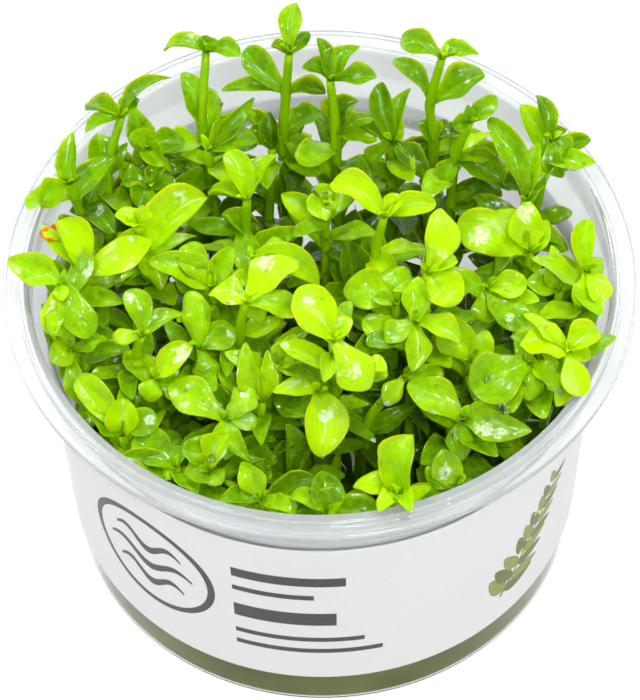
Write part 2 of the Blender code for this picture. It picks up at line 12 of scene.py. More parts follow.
import bpy
from mathutils import Matrix, Vector, noise
from mathutils.bvhtree import BVHTree
from mathutils.geometry import delaunay_2d_cdt


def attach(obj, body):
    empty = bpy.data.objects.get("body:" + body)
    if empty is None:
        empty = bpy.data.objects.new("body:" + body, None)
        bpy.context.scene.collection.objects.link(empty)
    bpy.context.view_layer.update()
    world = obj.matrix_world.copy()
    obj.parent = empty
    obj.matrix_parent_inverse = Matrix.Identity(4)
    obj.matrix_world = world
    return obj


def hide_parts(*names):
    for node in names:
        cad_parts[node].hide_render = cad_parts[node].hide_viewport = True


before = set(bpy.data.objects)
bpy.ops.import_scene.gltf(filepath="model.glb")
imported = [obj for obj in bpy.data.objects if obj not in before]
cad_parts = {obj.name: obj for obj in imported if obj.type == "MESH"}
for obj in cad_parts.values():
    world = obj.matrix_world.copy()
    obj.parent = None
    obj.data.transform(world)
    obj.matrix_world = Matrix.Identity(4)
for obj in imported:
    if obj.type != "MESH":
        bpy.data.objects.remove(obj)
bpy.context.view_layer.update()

MM = 0.001
GAP = 0.3  # that the solids keep between them

# The solids' sizes, as in the CAD.
RIM_HEIGHT = 61.65
RIM_RADIUS = 45.3
FLANGE_RADIUS = 50.0
WALL = 1.0
FOOT_RADIUS = 39.6
LOWER_WALL_RADIUS = 41.09
UPPER_WALL_RADIUS = 43.4
MOUTH_RADIUS = 46.2
CUP_SEGMENTS = 44
LABEL_BOTTOM = 8.64
LABEL_TOP = 48.59
LABEL_THICKNESS = 0.25
SHOULDER_START = 52.4
SHOULDER_RADIUS = 45.9
SHOULDER_END = 55.2
FLANGE_UNDERSIDE = 59.8
FLANGE_TOP = 60.9
FLANGE_INNER = (49.6, 61.2)
FOLD_RADIUS = 47.3
GEL_TOP = 13.0
GEL_BOTTOM = 2.0
STEM_TOP_RADIUS = 0.6
STEM_FOOT_RADIUS = 0.95
STEM_SIDES = 4
BUD_LENGTH = 1.2
ROOT_CIRCLE = 37.0
ROOT_SPREAD = 0.94
ROOT_SPACING = 3.8
LEAF_KEEL = 0.5
LEAF_FOLD = 0.12
LEAF_ARCH = 0.08
LEAF_REACH = 49.7
LEAF_STATIONS = (
    (6.4, ((0.0, 0.24), (0.38, 0.80), (0.68, 1.0), (0.9, 0.64))),
    (5.0, ((0.0, 0.26), (0.45, 0.92), (0.8, 0.86))),
    (0.0, ((0.0, 0.3), (0.58, 1.0))),
)
LOW_PAIR_DROP = 8.0
LOW_PAIR_STEP = 0.4
LOW_PAIR_TURN = 67
LOW_PAIR_SPREAD = 171
LOW_LEAF_LENGTH = 9.5
LOW_LEAF_WIDTH = 4.8
LOW_LEAF_RISE = 0.5
LOW_LEAF_ROOT = 0.35

# The camera that took the photograph.
PHOTO_CENTRE = (320, 350)
PHOTO_HEIGHT = 700
PHOTO_FOCAL = 4672.5
VIEW_TARGET = Vector((-0.27, 0.0, 40.8))
VIEW_DISTANCE = 750.0
VIEW_ELEVATION = math.radians(54.05)
VIEW_ROLL = math.radians(-1.16)

SEEDS = {
    "gel_roots": 21, "air_roots": 22, "dry_leaf": 23, "drops": 24, "print": 25, "mist": 26, "plantlets": 120,
}

# More leaves than the solids have: their drops below the lowest node, widths and least height.
MORE_PAIR_DROPS = (4.2, 11.8, 17.5, 23.5, 30.5)
MORE_LEAF_WIDTH = 3.7
BACK_MORE_WIDTH = 4.9
LOWEST_LEAF = GEL_TOP + 4
# Leaves that plantlets near the wall hold out to it: drop below the lowest node and turn from straight out.
WALL_LEAVES = ((1.5, 40), (2.2, -40), (5.0, 0), (9.0, 30), (10.0, -30), (13.0, 0))
WALL_STANDS_FROM = 27.0
WALL_LEAF_TOP = 57.5
WALL_LEAF_REACH = 44.2

# Finer forms than the solids'.
ROUND_SEGMENTS = 160
SMOOTH_STEM_SIDES = 10
SMOOTH_STEM_STEPS = 5
SMOOTH_STEM_GROWTH = 1.16
STEM_END_SHRINK = 0.8
NODE_SWELL = 1.18

# Rows along a leaf and columns across it.
LEAF_GRID = (13, 8)
UNDERGROWTH_GRID = (8, 6)
BUD_GRID = (7, 6)
WITHERED_GRID = (14, 8)

# Form of a leaf: millimetres, shares of its half width or length, and powers.
LEAF_HALF_THICKNESS = 0.15
MARGIN_POWER = 3.2
FOOT_SHARE = 0.27
CUP_POWER = 1.7
WAVES_ALONG = 1.7
WAVE_SLANT = 0.3
SLOW_WAVES_ALONG = 1.1
SLOW_WAVE_SHARE = 0.35
RIB_WIDTH = 0.16
RIB_GROOVE = 0.13
RIB_KEEL = 0.22
BUD_LEAVES = 2
BUD_LEAF_LENGTH = 2.4
BUD_LEAF_WIDTH = 0.52
BUD_LEAF_ARCH = 0.12
BUD_LEAF_CUP = 0.5
BUD_DARKER = 0.1

# A leaf's tone, from deep green (0) in the shade to lime (1), grows with its height in millimetres: painted
# shade that darkens the leaves low in the canopy. The back stems and the undergrowth get more painted shade
# through their factors.
SHADE_TOP = 34
SHADE_TO_LIGHT = 32
PALEST_TONE = 0.85
STEM_TONE = 0.8
BACK_STEM_SHADE = 0.55
UNDERGROWTH_SHADE = 0.86

# Plantlets whose leaves are paler (above 0) or darker (below 0) than their height alone gives.
PALE = {
    "middle_3": 0.35, "right_9": 0.35, "middle_7": 0.25, "front_9": 0.2, "left_1": 0.15, "left_4": 0.2,
    "middle_1": 0.15, "right_1": 0.15, "back_8": 0.2, "back_left_1": 0.1, "middle_9": -0.35,
    "right_10": -0.1, "front_12": -0.3, "front_10": -0.1, "front_8": -0.15, "right_6": -0.1, "left_5": -0.1,
    "middle_5": -0.15,
}

# The plantlets at the back hold narrower leaves, darkened with painted shade, with their sides folded up and
# their ends drooping.
BACK_SHADE = 0.46
BACK_CUP = 0.3
BACK_DROOP = 0.05
BACK_WIDTH = 0.84

WITHERED_RISE = 2.0

# Size of the curves at corners. A side longer than LONG_SIDE curves gets a point SUPPORT_AT curves along it.
CUP_BEND = 0.35
GEL_BEND = 0.15
CURVE_SHARE = 0.4
LONG_SIDE = 5
SUPPORT_AT = 1.6

# The real thin plastic, and the heights where its clearness changes.
THIN_WALL = 0.45
FLOOR_TOP = 0.55
FOOT_HOLLOW = 0.25
PLASTIC_LEVELS = (47.0, 52.0)

# The sleeve's print is laid out flat at this radius.
SLEEVE_RADIUS = 42.8
SLEEVE_ROWS = 10
PRINT_STEP = 0.8

# The gel creeps up the wall, and its top swells a little.
GEL_CLEARANCE = 0.04
GEL_CREEP = 0.6
GEL_CREEP_WIDTH = 1.4
GEL_FLAT_RADIUS = 36
GEL_RING_STEP = 4
GEL_SWELL = 0.5
GEL_SWELL_SCALE = 0.16

# Roots: how many a plantlet has, ranges of their length, radius and slope, and how much each step bends.
ROOT_SIDES = 5
ROOTS_A_PLANT = 4
ROOT_STEPS = 12
ROOT_BEND = 0.34
ROOT_LENGTHS = (10, 34)
ROOT_RADII = (0.16, 0.34)
ROOT_SLOPES = (-0.9, -0.2)
ROOT_WALL_GAP = 1.6
AIR_ROOTS_A_PLANT = 2
AIR_ROOT_STEPS = 9
AIR_ROOT_BEND = 0.3
AIR_ROOT_DROPS = (24, 38)
AIR_ROOT_LENGTHS = (6, 14)
AIR_ROOT_RADII = (0.14, 0.26)
AIR_ROOT_SLOPE = -0.9
AIR_ROOT_POINTS = 3
THREAD_RADIUS = 0.42

# Water: small drops over a field of the photograph, and mist on the wall at turns in degrees.
SMALL_DROPS = 170
SMALL_DROP_RADII = (0.14, 0.42)
DROP_FIELD_X = (40, 600)
DROP_FIELD_Y = (60, 510)
DROP_FLATNESS = 0.55
DROP_SINK = 0.03
LEAST_NORMAL_RISE = 0.25
MIST_DROPS = 110
MIST_RADII = (0.08, 0.26)
MIST_FLATNESS = 0.6
MIST_HEIGHTS = (48.8, 51.6)
MIST_MIDDLE = -32
MIST_SPREAD = 9

# Generic print of the sleeve: millimetres round the sleeve from its front, and height.
RING_CENTRE = (-30.5, 30.0)
RING_RADIUS = 12.4
RING_LINE = 1.3
# Waves in the ring: height over its centre and half length.
RING_WAVES = ((-4.83, 6.6), (0.0, 8.4), (4.83, 6.6))
WAVE_SWING = 1.5
WAVE_THICKNESS = 2.0
PLAIN_BARS = (
    (-15.0, 37.6, 3.0, 40.2), (-15.0, 33.4, -2.0, 34.8), (-15.0, 25.4, 1.5, 29.2),
    (-15.0, 20.2, 6.0, 21.5), (-15.0, 16.6, 9.0, 17.9),
)
SPRIG_FOOT = (31.0, 15.5)
SPRIG_TOP = (43.5, 38.5)
SPRIG_LEVELS = 9
SPRIG_LEAF = 6.2
SPRIG_LEAF_WIDTH = 0.46
SPRIG_STEM_HALVES = (0.3, 0.15)
SPRIG_SPECKS = ((38.2, 33.0), (35.2, 25.0))
SPECK_SIZE = (1.3, 0.9)

# Pale root threads by the pixels of their ends and the heights there.
ROOT_THREADS = (
    (340, 435, 353, 472, 40, 36), (428, 405, 420, 440, 40, 34), (520, 417, 541, 421, 44, 46),
    (436, 484, 452, 490, 38, 38), (330, 448, 338, 462, 38, 34),
)

# Large drops by pixel and radius.
LARGE_DROPS = (
    (487, 380, 0.62), (470, 323, 0.55), (505, 408, 1.2), (325, 195, 0.6), (283, 240, 0.5), (142, 183, 0.6),
    (228, 303, 0.45), (430, 412, 0.5), (212, 458, 0.6), (342, 480, 0.5),
)

# Wet spots by pixel and reach in millimetres, where the leaves get a painted glint and a ruffled coat.
WET_GLINT_SPOTS = (
    (180, 197, 1.6), (212, 255, 1.5), (267, 262, 1.8), (287, 250, 1.0), (310, 300, 1.2), (230, 303, 1.1),
    (182, 298, 1.5), (185, 355, 2.2), (130, 298, 1.1), (92, 270, 1.8), (104, 284, 1.4), (355, 370, 1.5),
    (327, 415, 1.5), (245, 395, 1.0), (224, 455, 1.5), (285, 345, 1.0), (480, 236, 2.3), (525, 212, 2.0),
    (510, 318, 1.2), (430, 412, 1.5), (485, 430, 1.9), (445, 472, 1.7), (388, 405, 1.0), (375, 442, 1.0),
    (501, 433, 1.2), (100, 210, 1.4), (250, 215, 1.0), (340, 250, 1.0), (150, 420, 1.2), (545, 270, 1.2),
)
WET_GLINT_GROWTH = 1.35

# Colour and strength of the shine on leaves and stems under their coat of water.
LEAF_SHINE = {"Specular_IOR_Level": 0.2, "Specular_Tint": (0.6, 1.0, 0.0, 1.0)}
LEAF_GREENS = (
    (0.0, (0.05, 0.14, 0.0)), (0.3, (0.13, 0.31, 0.0)), (0.62, (0.27, 0.53, 0.0)), (1.0, (0.44, 0.74, 0.0)),
)
STEM_GREENS = ((0.1, (0.06, 0.16, 0.0)), (0.5, (0.20, 0.44, 0.0)), (1.0, (0.42, 0.72, 0.0)))
GEL_GREENS = ((0.3, (0.14, 0.16, 0.02)), (0.55, (0.215, 0.24, 0.045)), (0.8, (0.31, 0.34, 0.09)))
DRY_TANS = ((0.25, (0.50, 0.075, 0.004)), (0.55, (0.85, 0.22, 0.02)), (0.8, (0.93, 0.50, 0.16)))
PLASTIC_HAZE = ((0.3, (0.94, 0.97, 0.985)), (0.7, (0.965, 0.985, 0.995)))
# Name, clearness, roughness, index of refraction and shade of the cup's plastics, from its foot up.
PLASTICS = (
    ("clear_cup_wall", 1.0, 0.04, 1.13, 1.0),
    ("frosted_cup_band", 0.48, 0.15, 1.2, 1.0),
    ("hazy_cup_rim", 0.76, 0.1, 1.3, 0.94),
)
# Roughness, share of light that soaks in and how far in metres it spreads.
PAPER_SURFACE = (0.4, 0.8, 0.0009)
INK_SURFACE = (0.35, 0.15, 0.0003)
INNER_PAPER_SURFACE = (0.6, 1.0, 0.004)
# The darkest and lightest tone of each ink over the paper's fibres.
INKS = (
    ("grey_ink", (0.035, 0.038, 0.04), (0.055, 0.058, 0.06)),
    ("olive_ink", (0.09, 0.13, 0.01), (0.15, 0.19, 0.02)),
    ("light_olive_ink", (0.22, 0.27, 0.03), (0.30, 0.34, 0.06)),
    ("yellow_ink", (0.75, 0.50, 0.04), (0.85, 0.62, 0.08)),
)

WHITE = (1.0, 1.0, 1.0, 1.0)
# The sky's glow near the floor and overhead, and the height share over which one turns into the other.
LOW_SKY = 1.0
HIGH_SKY = 0.22
SKY_TURN = (0.08, 0.45)
FLOOR_GLOW = 0.94
FLOOR_HALF = 3.0
FLOOR_SINK = 0.0002
LIGHT_AIM = Vector((0, 0, 0.06))
# Name, place in metres, size in metres and radiance.
SOFTBOXES = (
    ("key_softbox", (-0.30, 0.50, 0.75), 0.14, 52.0),
    ("back_right_softbox", (0.38, 0.45, 0.62), 0.105, 35.0),
    ("top_softbox", (0.10, 0.02, 0.95), 0.14, 40.0),
    ("left_softbox", (-0.62, -0.05, 0.60), 0.105, 35.0),
    ("front_softbox", (0.10, -0.55, 0.85), 0.17, 44.0),
    ("small_softbox", (-0.12, 0.30, 0.95), 0.05, 130.0),
    ("small_front_softbox", (0.32, -0.25, 0.85), 0.05, 130.0),
)

Leaf = namedtuple("Leaf", "px py rise width turn arch", defaults=(0, LEAF_ARCH))
Node = namedtuple("Node", "px py height leaves")

# Each plantlet's nodes from the top one down, placed where the photograph shows them, by the part of the cup
# where the plantlets stand.
STANDS = {
    "back": [
        [Node(206, 52, 77, [Leaf(160, 45, 1, 4.6, 0, 0.2), Leaf(243, 52, 0, 4.2, 0, 0.1),
                            Leaf(201, 36, 2, 2.6), Leaf(218, 41, 2, 2.8)]),
         Node(202, 126, 66, [Leaf(190, 70, 8, 5.2)])],
        [Node(289, 54, 80, [Leaf(293, 2, 6, 4.6), Leaf(271, 45, 1, 2.6), Leaf(309, 31, 3, 3.0)]),
         Node(286, 94, 71, [Leaf(244, 47, 4, 5.6), Leaf(221, 90, 0, 3.2), Leaf(326, 93, 1, 4.0)]),
         Node(283, 138, 62, [Leaf(322, 112, 4, 7.0), Leaf(318, 160, -2, 5.0)])],
        [Node(330, 80, 76, [Leaf(358, 43, 4, 5.2), Leaf(379, 72, 1, 4.6), Leaf(302, 66, 2, 3.6),
                            Leaf(318, 37, 5, 3.4)]),
         Node(336, 132, 66, [Leaf(378, 139, 0, 4.8), Leaf(358, 100, 4, 5.6), Leaf(374, 118, 2, 4.0)])],
        [Node(393, 142, 64, [Leaf(380, 82, 7, 4.6), Leaf(411, 88, 6, 3.8), Leaf(368, 167, -3, 4.0),
                             Leaf(428, 178, -2, 5.0), Leaf(350, 127, 1, 4.0)])],
        [Node(442, 58, 81, [Leaf(397, 35, 2, 5.6), Leaf(462, 41, 1, 3.0), Leaf(480, 53, 0, 3.6)]),
         Node(430, 104, 71, [Leaf(389, 54, 6, 3.8, 0, 0.18), Leaf(484, 72, 5, 7.2)]),
         Node(434, 140, 63, [Leaf(419, 121, 3, 5.0), Leaf(462, 134, 1, 4.0)])],
        [Node(470, 122, 73, [Leaf(498, 98, 2, 4.0), Leaf(453, 128, 0, 3.4), Leaf(467, 105, 3, 2.6)]),
         Node(455, 160, 65, [Leaf(506, 150, 2, 4.4), Leaf(512, 190, -2, 6.0), Leaf(444, 184, -2, 4.4)])],
        [Node(208, 150, 66, [Leaf(257, 97, 5, 3.8, 50), Leaf(256, 112, 3, 4.4), Leaf(258, 138, 1, 6.4)])],
        [Node(247, 200, 71, [Leaf(229, 149, 6, 5.0), Leaf(277, 155, 5, 5.0), Leaf(208, 194, 0, 3.8)]),
         Node(246, 236, 62, [Leaf(190, 225, 2, 3.8), Leaf(222, 214, 4, 4.4)])],
        [Node(272, 148, 61, [Leaf(267, 113, 5, 4.2), Leaf(250, 128, 3, 4.4)])],
    ],
    "back_left": [
        [Node(121, 117, 72, [Leaf(168, 69, 4, 3.8), Leaf(85, 107, 0, 3.8), Leaf(80, 127, -1, 3.4),
                             Leaf(137, 95, 2, 4.2)]),
         Node(107, 176, 62, [Leaf(103, 131, 5, 6.6), Leaf(128, 142, 4, 3.4), Leaf(89, 203, -2, 3.6)])],
        [Node(68, 184, 66, [Leaf(74, 131, 6, 5.0), Leaf(92, 164, 2, 3.0), Leaf(41, 207, 0, 5.4)])],
        [Node(147, 148, 66, [Leaf(186, 142, 1, 5.2), Leaf(128, 138, 2, 4.2), Leaf(165, 166, -1, 4.4)])],
        [Node(150, 186, 63, [Leaf(119, 184, 1, 5.8), Leaf(161, 162, 3, 4.0), Leaf(138, 207, -1, 5.2),
                             Leaf(176, 184, 1, 4.2)])],
    ],
    "back_right": [
        [Node(526, 200, 67, [Leaf(486, 116, 7, 5.4, 0, 0.14), Leaf(538, 142, 6, 4.6),
                             Leaf(547, 175, 3, 4.0)])],
        [Node(552, 140, 69, [Leaf(539, 93, 5, 4.2), Leaf(567, 127, 1, 3.6), Leaf(558, 178, -2, 4.4),
                             Leaf(569, 153, -1, 3.8)])],
    ],
    "left": [
        [Node(86, 272, 63, [Leaf(58, 222, 4, 6.0), Leaf(157, 242, 3, 7.4), Leaf(42, 226, 2, 3.0)])],
        [Node(62, 284, 66, [Leaf(8, 259, 1, 5.8), Leaf(60, 298, 1, 2.6), Leaf(54, 336, -4, 4.6),
                            Leaf(90, 338, -4, 5.4)])],
        [Node(72, 350, 59, [Leaf(106, 337, 2, 3.8), Leaf(50, 328, 2, 3.4), Leaf(51, 362, 0, 4.8),
                            Leaf(88, 406, -3, 3.6)])],
        [Node(138, 226, 69, [Leaf(115, 215, 1, 3.2), Leaf(151, 213, 1, 3.2), Leaf(132, 208, 2, 3.0)]),
         Node(146, 252, 62, [Leaf(207, 197, 6, 7.0), Leaf(118, 238, 3, 5.6), Leaf(160, 290, -2, 5.0)])],
        [Node(142, 336, 64, [Leaf(129, 289, 5, 4.4), Leaf(111, 331, 0, 3.4), Leaf(187, 311, 2, 3.6)]),
         Node(138, 356, 58, [Leaf(146, 383, 0, 5.6), Leaf(124, 366, 1, 4.0)])],
        [Node(157, 379, 60, [Leaf(192, 344, 3, 4.8), Leaf(146, 401, -1, 4.4), Leaf(188, 403, 0, 5.0)])],
        [Node(213, 288, 63, [Leaf(148, 262, 3, 5.8), Leaf(232, 247, 5, 3.8), Leaf(186, 243, 4, 5.0)])],
    ],
    "middle": [
        [Node(246, 302, 69, [Leaf(208, 292, 1, 5.4), Leaf(296, 260, 3, 6.4), Leaf(298, 313, -1, 4.2)]),
         Node(240, 334, 60.5, [Leaf(203, 328, 0, 3.8), Leaf(281, 320, 2, 3.8)])],
        [Node(252, 258, 68, [Leaf(297, 240, 2, 5.2), Leaf(325, 286, -2, 5.2, 4, 0.18)])],
        [Node(334, 340, 72, [Leaf(300, 288, 4, 7.4), Leaf(375, 387, -3, 7.2), Leaf(352, 318, 2, 3.6)])],
        [Node(200, 348, 61, [Leaf(184, 290, 6, 4.8), Leaf(236, 336, 2, 4.0), Leaf(214, 386, -3, 4.4)])],
        [Node(277, 366, 64, [Leaf(309, 353, 2, 3.8), Leaf(316, 373, 0, 3.6), Leaf(296, 334, 3, 4.0)])],
        [Node(262, 402, 59, [Leaf(243, 343, 8, 4.8), Leaf(268, 350, 7, 3.4)])],
        [Node(320, 392, 62, [Leaf(320, 457, -3, 7.0), Leaf(272, 392, 0, 3.4)])],
        [Node(325, 204, 66, [Leaf(308, 211, 1, 5.0), Leaf(329, 184, 2, 4.2), Leaf(342, 203, 1, 3.8)])],
        [Node(352, 296, 54, [Leaf(346, 241, 7, 5.2), Leaf(320, 300, 2, 4.6)])],
    ],
    "right": [
        [Node(384, 217, 69, [Leaf(332, 180, 3, 5.6), Leaf(436, 204, 2, 4.2), Leaf(404, 196, 3, 3.8)]),
         Node(375, 256, 60, [Leaf(399, 279, 0, 4.8), Leaf(424, 252, 1, 3.0)])],
        [Node(428, 274, 70, [Leaf(450, 206, 6, 6.2), Leaf(459, 303, -2, 6.6), Leaf(457, 261, 1, 3.0)])],
        [Node(396, 304, 63, [Leaf(341, 291, 2, 6.8), Leaf(372, 298, 3, 3.0)])],
        [Node(415, 322, 66, [Leaf(386, 343, -1, 4.4), Leaf(459, 343, -1, 4.0), Leaf(411, 371, -4, 4.4),
                             Leaf(418, 276, 4, 4.8)])],
        [Node(530, 252, 63, [Leaf(528, 201, 5, 6.0), Leaf(456, 224, 3, 7.6), Leaf(490, 278, -2, 4.6, 40),
                             Leaf(548, 218, 3, 4.6)])],
        [Node(488, 288, 64, [Leaf(524, 333, -2, 6.2), Leaf(527, 286, 1, 4.6), Leaf(484, 322, -3, 4.6)])],
        [Node(560, 290, 60, [Leaf(554, 244, 6, 5.0), Leaf(526, 282, 2, 4.8), Leaf(575, 268, 3, 3.2)])],
        [Node(587, 272, 66, [Leaf(588, 219, 5, 3.8), Leaf(601, 303, -1, 4.4), Leaf(580, 306, -2, 4.0)])],
        [Node(568, 350, 65, [Leaf(523, 317, 2, 3.6), Leaf(520, 346, 1, 7.0), Leaf(600, 334, 1, 4.8),
                             Leaf(582, 396, -2, 4.6), Leaf(592, 356, -1, 4.0)])],
        [Node(529, 362, 64, [Leaf(472, 391, -1, 8.6), Leaf(560, 388, -2, 4.6), Leaf(532, 402, -3, 3.8)])],
        [Node(470, 362, 60, [Leaf(440, 310, 4, 6.6), Leaf(488, 330, 3, 4.4)])],
        [Node(404, 378, 60, [Leaf(444, 373, 1, 3.4, 40), Leaf(388, 408, -2, 3.6)]),
         Node(368, 422, 50, [])],
    ],
    "front": [
        [Node(121, 434, 57, [Leaf(88, 414, 2, 4.2), Leaf(156, 416, 2, 4.6), Leaf(79, 377, 4, 4.8),
                             Leaf(123, 398, 4, 5.4)])],
        [Node(176, 468, 55, [Leaf(137, 434, 3, 6.0), Leaf(181, 446, 2, 3.6), Leaf(157, 477, 0, 3.0)])],
        [Node(210, 472, 57, [Leaf(192, 438, 3, 5.8), Leaf(229, 435, 3, 4.6), Leaf(184, 472, 1, 5.4),
                             Leaf(222, 484, 0, 3.8)])],
        [Node(227, 420, 59, [Leaf(250, 386, 3, 4.8), Leaf(257, 424, 0, 3.2), Leaf(168, 380, 2, 6.4),
                             Leaf(226, 460, -3, 4.6)])],
        [Node(262, 499, 56, [Leaf(241, 462, 4, 4.4), Leaf(296, 512, -1, 3.8), Leaf(219, 499, 0, 3.8)])],
        [Node(268, 474, 52, [Leaf(229, 451, 3, 6.0), Leaf(268, 446, 2, 4.0)])],
        [Node(326, 512, 55, [Leaf(322, 471, 5, 5.4), Leaf(346, 493, 3, 4.6), Leaf(382, 508, 0, 4.2),
                             Leaf(288, 498, 1, 3.8)])],
        [Node(287, 480, 50, [Leaf(285, 424, 9, 4.8), Leaf(308, 440, 6, 4.6)])],
        [Node(400, 494, 61, [Leaf(411, 434, 7, 5.8), Leaf(354, 477, 2, 4.6), Leaf(412, 511, 2, 3.8),
                             Leaf(378, 509, 2, 3.6)])],
        [Node(463, 420, 58, [Leaf(408, 383, 3, 6.4), Leaf(532, 431, 0, 5.6), Leaf(500, 398, 2, 4.0),
                             Leaf(466, 462, -3, 4.6)])],
        [Node(455, 486, 52, [Leaf(442, 449, 5, 5.4), Leaf(425, 470, 3, 3.4)])],
        [Node(505, 420, 49, [Leaf(548, 398, 3, 5.6), Leaf(480, 450, 0, 5.6)])],
    ],
}
PLANTLETS = {
    f"plantlet_{place}_{number}": nodes
    for place, plantlets in STANDS.items() for number, nodes in enumerate(plantlets, 1)
}

WITHERED_LEAF = (Node(71, 233, 63.0, []), Leaf(40, 235, 0.2, 2.8, 0, 0.02))


def wall_radius(height):
    """Outer radius of the cup's tapered wall under the sleeve."""
    taper = (UPPER_WALL_RADIUS - LOWER_WALL_RADIUS) / (LABEL_TOP - LABEL_BOTTOM)
    return LOWER_WALL_RADIUS + (height - LABEL_BOTTOM) * taper


def cup_profile():
    """Radius and height of the cup's outline, from the axis, up the outside and down the inside."""
    outside = [
        (0, 0), (FOOT_RADIUS, 0), (wall_radius(1.6), 1.5),
        (wall_radius(SHOULDER_START), SHOULDER_START), (SHOULDER_RADIUS, SHOULDER_END),
        (MOUTH_RADIUS, FLANGE_UNDERSIDE), (FLANGE_RADIUS, FLANGE_UNDERSIDE), (FLANGE_RADIUS, FLANGE_TOP),
        FLANGE_INNER, (47.7, 61.1), (FOLD_RADIUS, RIM_HEIGHT), (RIM_RADIUS, RIM_HEIGHT),
    ]
    inside = [
        (MOUTH_RADIUS - WALL, 59.5), (SHOULDER_RADIUS - WALL, 55.5),
        (wall_radius(SHOULDER_START) - WALL, 52.7), (wall_radius(3.4) - WALL, 3.4),
        (FOOT_RADIUS - 1.4, 1.7), (0, 1.7),
    ]
    return outside + inside


def turned(profile, segments):
    """Points and faces of a profile turned about Z. Points on the axis are shared."""
    verts = []
    rings = []
    for radius, height in profile:
        if radius == 0:
            rings.append([len(verts)] * segments)
            verts.append(Vector((0, 0, height)))
            continue
        rings.append(range(len(verts), len(verts) + segments))
        for k in range(segments):
            angle = math.tau * k / segments
            verts.append(Vector((radius * math.cos(angle), radius * math.sin(angle), height)))
    faces = []
    for low, high in itertools.pairwise(rings):
        for k in range(segments):
            nxt = (k + 1) % segments
            faces.append(tuple(dict.fromkeys((low[k], low[nxt], high[nxt], high[k]))))
    return verts, faces


def view_axes():
    """Camera place and its right, up and forward directions."""
    back = Vector((0, -math.cos(VIEW_ELEVATION), math.sin(VIEW_ELEVATION)))
    forward = -back
    right = Vector((1, 0, 0))
    up = right.cross(forward)
    rolled_right = right * math.cos(VIEW_ROLL) + up * math.sin(VIEW_ROLL)
    rolled_up = up * math.cos(VIEW_ROLL) - right * math.sin(VIEW_ROLL)
    return VIEW_TARGET + back * VIEW_DISTANCE, rolled_right, rolled_up, forward


CAMERA, VIEW_RIGHT, VIEW_UP, VIEW_FORWARD = view_axes()


def from_photo(px, py, height):
    """Point at a height in the cup's space that shows at a pixel of the photograph."""
    across = (px - PHOTO_CENTRE[0]) / PHOTO_FOCAL
    upward = (PHOTO_CENTRE[1] - py) / PHOTO_FOCAL
    sight = VIEW_FORWARD + VIEW_RIGHT * across + VIEW_UP * upward
    return CAMERA + sight * ((height - CAMERA.z) / sight.z)


class Space:
    """Pieces placed so far, to keep the gap between new ones and them."""

    def __init__(self):
        self.taken = []

    def add(self, owner, verts, faces):
        self.taken.append((owner, *box_of(verts), BVHTree.FromPolygons(verts, faces)))

    def is_free(self, owner, verts, faces):
        low, high = box_of(verts)
        near = [tree for name, lo, hi, tree in self.taken
                if name != owner and all(low[i] <= hi[i] and high[i] >= lo[i] for i in range(3))]
        if not near:
            return True
        tree = BVHTree.FromPolygons(verts, faces)
        return not any(tree.overlap(other) for other in near)


def box_of(verts):
    low = [min(v[i] for v in verts) for i in range(3)]
    high = [max(v[i] for v in verts) for i in range(3)]
    return low, high


def ring_of(centre, side, other, radius, sides):
    """Points round a centre, from one direction to another."""
    turns = [math.tau * k / sides for k in range(sides)]
    return [centre + (side * math.cos(turn) + other * math.sin(turn)) * radius for turn in turns]


def ring_faces(rings, sides):
    """Faces between rings whose points are numbered one ring after the other."""
    faces = []
    for low in range(0, (rings - 1) * sides, sides):
        high = low + sides
        for k in range(sides):
            nxt = (k + 1) % sides
            faces.append((low + k, low + nxt, high + nxt, high + k))
    return faces


def tip_faces(ring, sides, tip):
    """Faces from a ring, given by its first point, to a single point."""
    return [(ring + k, ring + (k + 1) % sides, tip) for k in range(sides)]


def way_along(points, k):
    """Direction of a line of points at one of them."""
    return (points[min(k + 1, len(points) - 1)] - points[max(k - 1, 0)]).normalized()


def tube(points, radii, grow=0.0):
    """Stem: a square tube along points, pointed at its top end, grown on all sides for gap tests."""
    verts = []
    for k, (point, radius) in enumerate(zip(points, radii)):
        along = way_along(points, k)
        side = along.cross(Vector((0.2, 1, 0))).normalized()
        verts += ring_of(point, side, along.cross(side), radius + grow, STEM_SIDES)
    faces = [tuple(range(STEM_SIDES))] + ring_faces(len(points), STEM_SIDES)
    faces += tip_faces(len(verts) - STEM_SIDES, STEM_SIDES, len(verts))
    verts.append(points[-1] + (points[-1] - points[-2]).normalized() * (BUD_LENGTH + grow))
    return verts, faces


Blade = namedtuple("Blade", "base tip facing width arch")


def blade_frame(blade, along):
    """Midline point, side direction and upward direction of a blade at a share of its length."""
    span = blade.tip - blade.base
    lift = blade.facing * blade.arch * span.length * 4
    side = span.cross(blade.facing).normalized()
    point = blade.base + span * along + lift * along * (1 - along)
    up = side.cross(span + lift * (1 - 2 * along)).normalized()
    return point, side, up


def blade_solid(blade, grow=0.0):
    """Leaf: two edges and a keel through a few stations, ending in a point, or a grown box for gap tests."""
    verts = []
    stations = next(rows for least, rows in LEAF_STATIONS if blade.width >= least)
    for along, share in stations:
        point, side, up = blade_frame(blade, along)
        half = blade.width / 2 * share
        fold = up * LEAF_FOLD * half
        keel = point - up * (LEAF_KEEL * (0.7 + 0.3 * share) + grow)
        if grow:
            wide = side * (half + grow)
            verts += [point - wide + fold + up * grow, point + wide + fold + up * grow,
                      point + wide + fold - up * grow, keel, point - wide + fold - up * grow]
        else:
            verts += [point - side * half + fold, point + side * half + fold, keel]
    sides = len(verts) // len(stations)
    faces = [tuple(range(sides))] + ring_faces(len(stations), sides)
    faces += tip_faces(len(verts) - sides, sides, len(verts))
    verts.append(blade_frame(blade, 1.0)[0] + (blade.tip - blade.base).normalized() * grow)
    return verts, faces


def perpendicular(direction, along):
    return (direction - along * direction.dot(along)).normalized()


def rolled(direction, axis, degrees):
    turn = math.radians(degrees)
    return direction * math.cos(turn) + axis.cross(direction) * math.sin(turn)


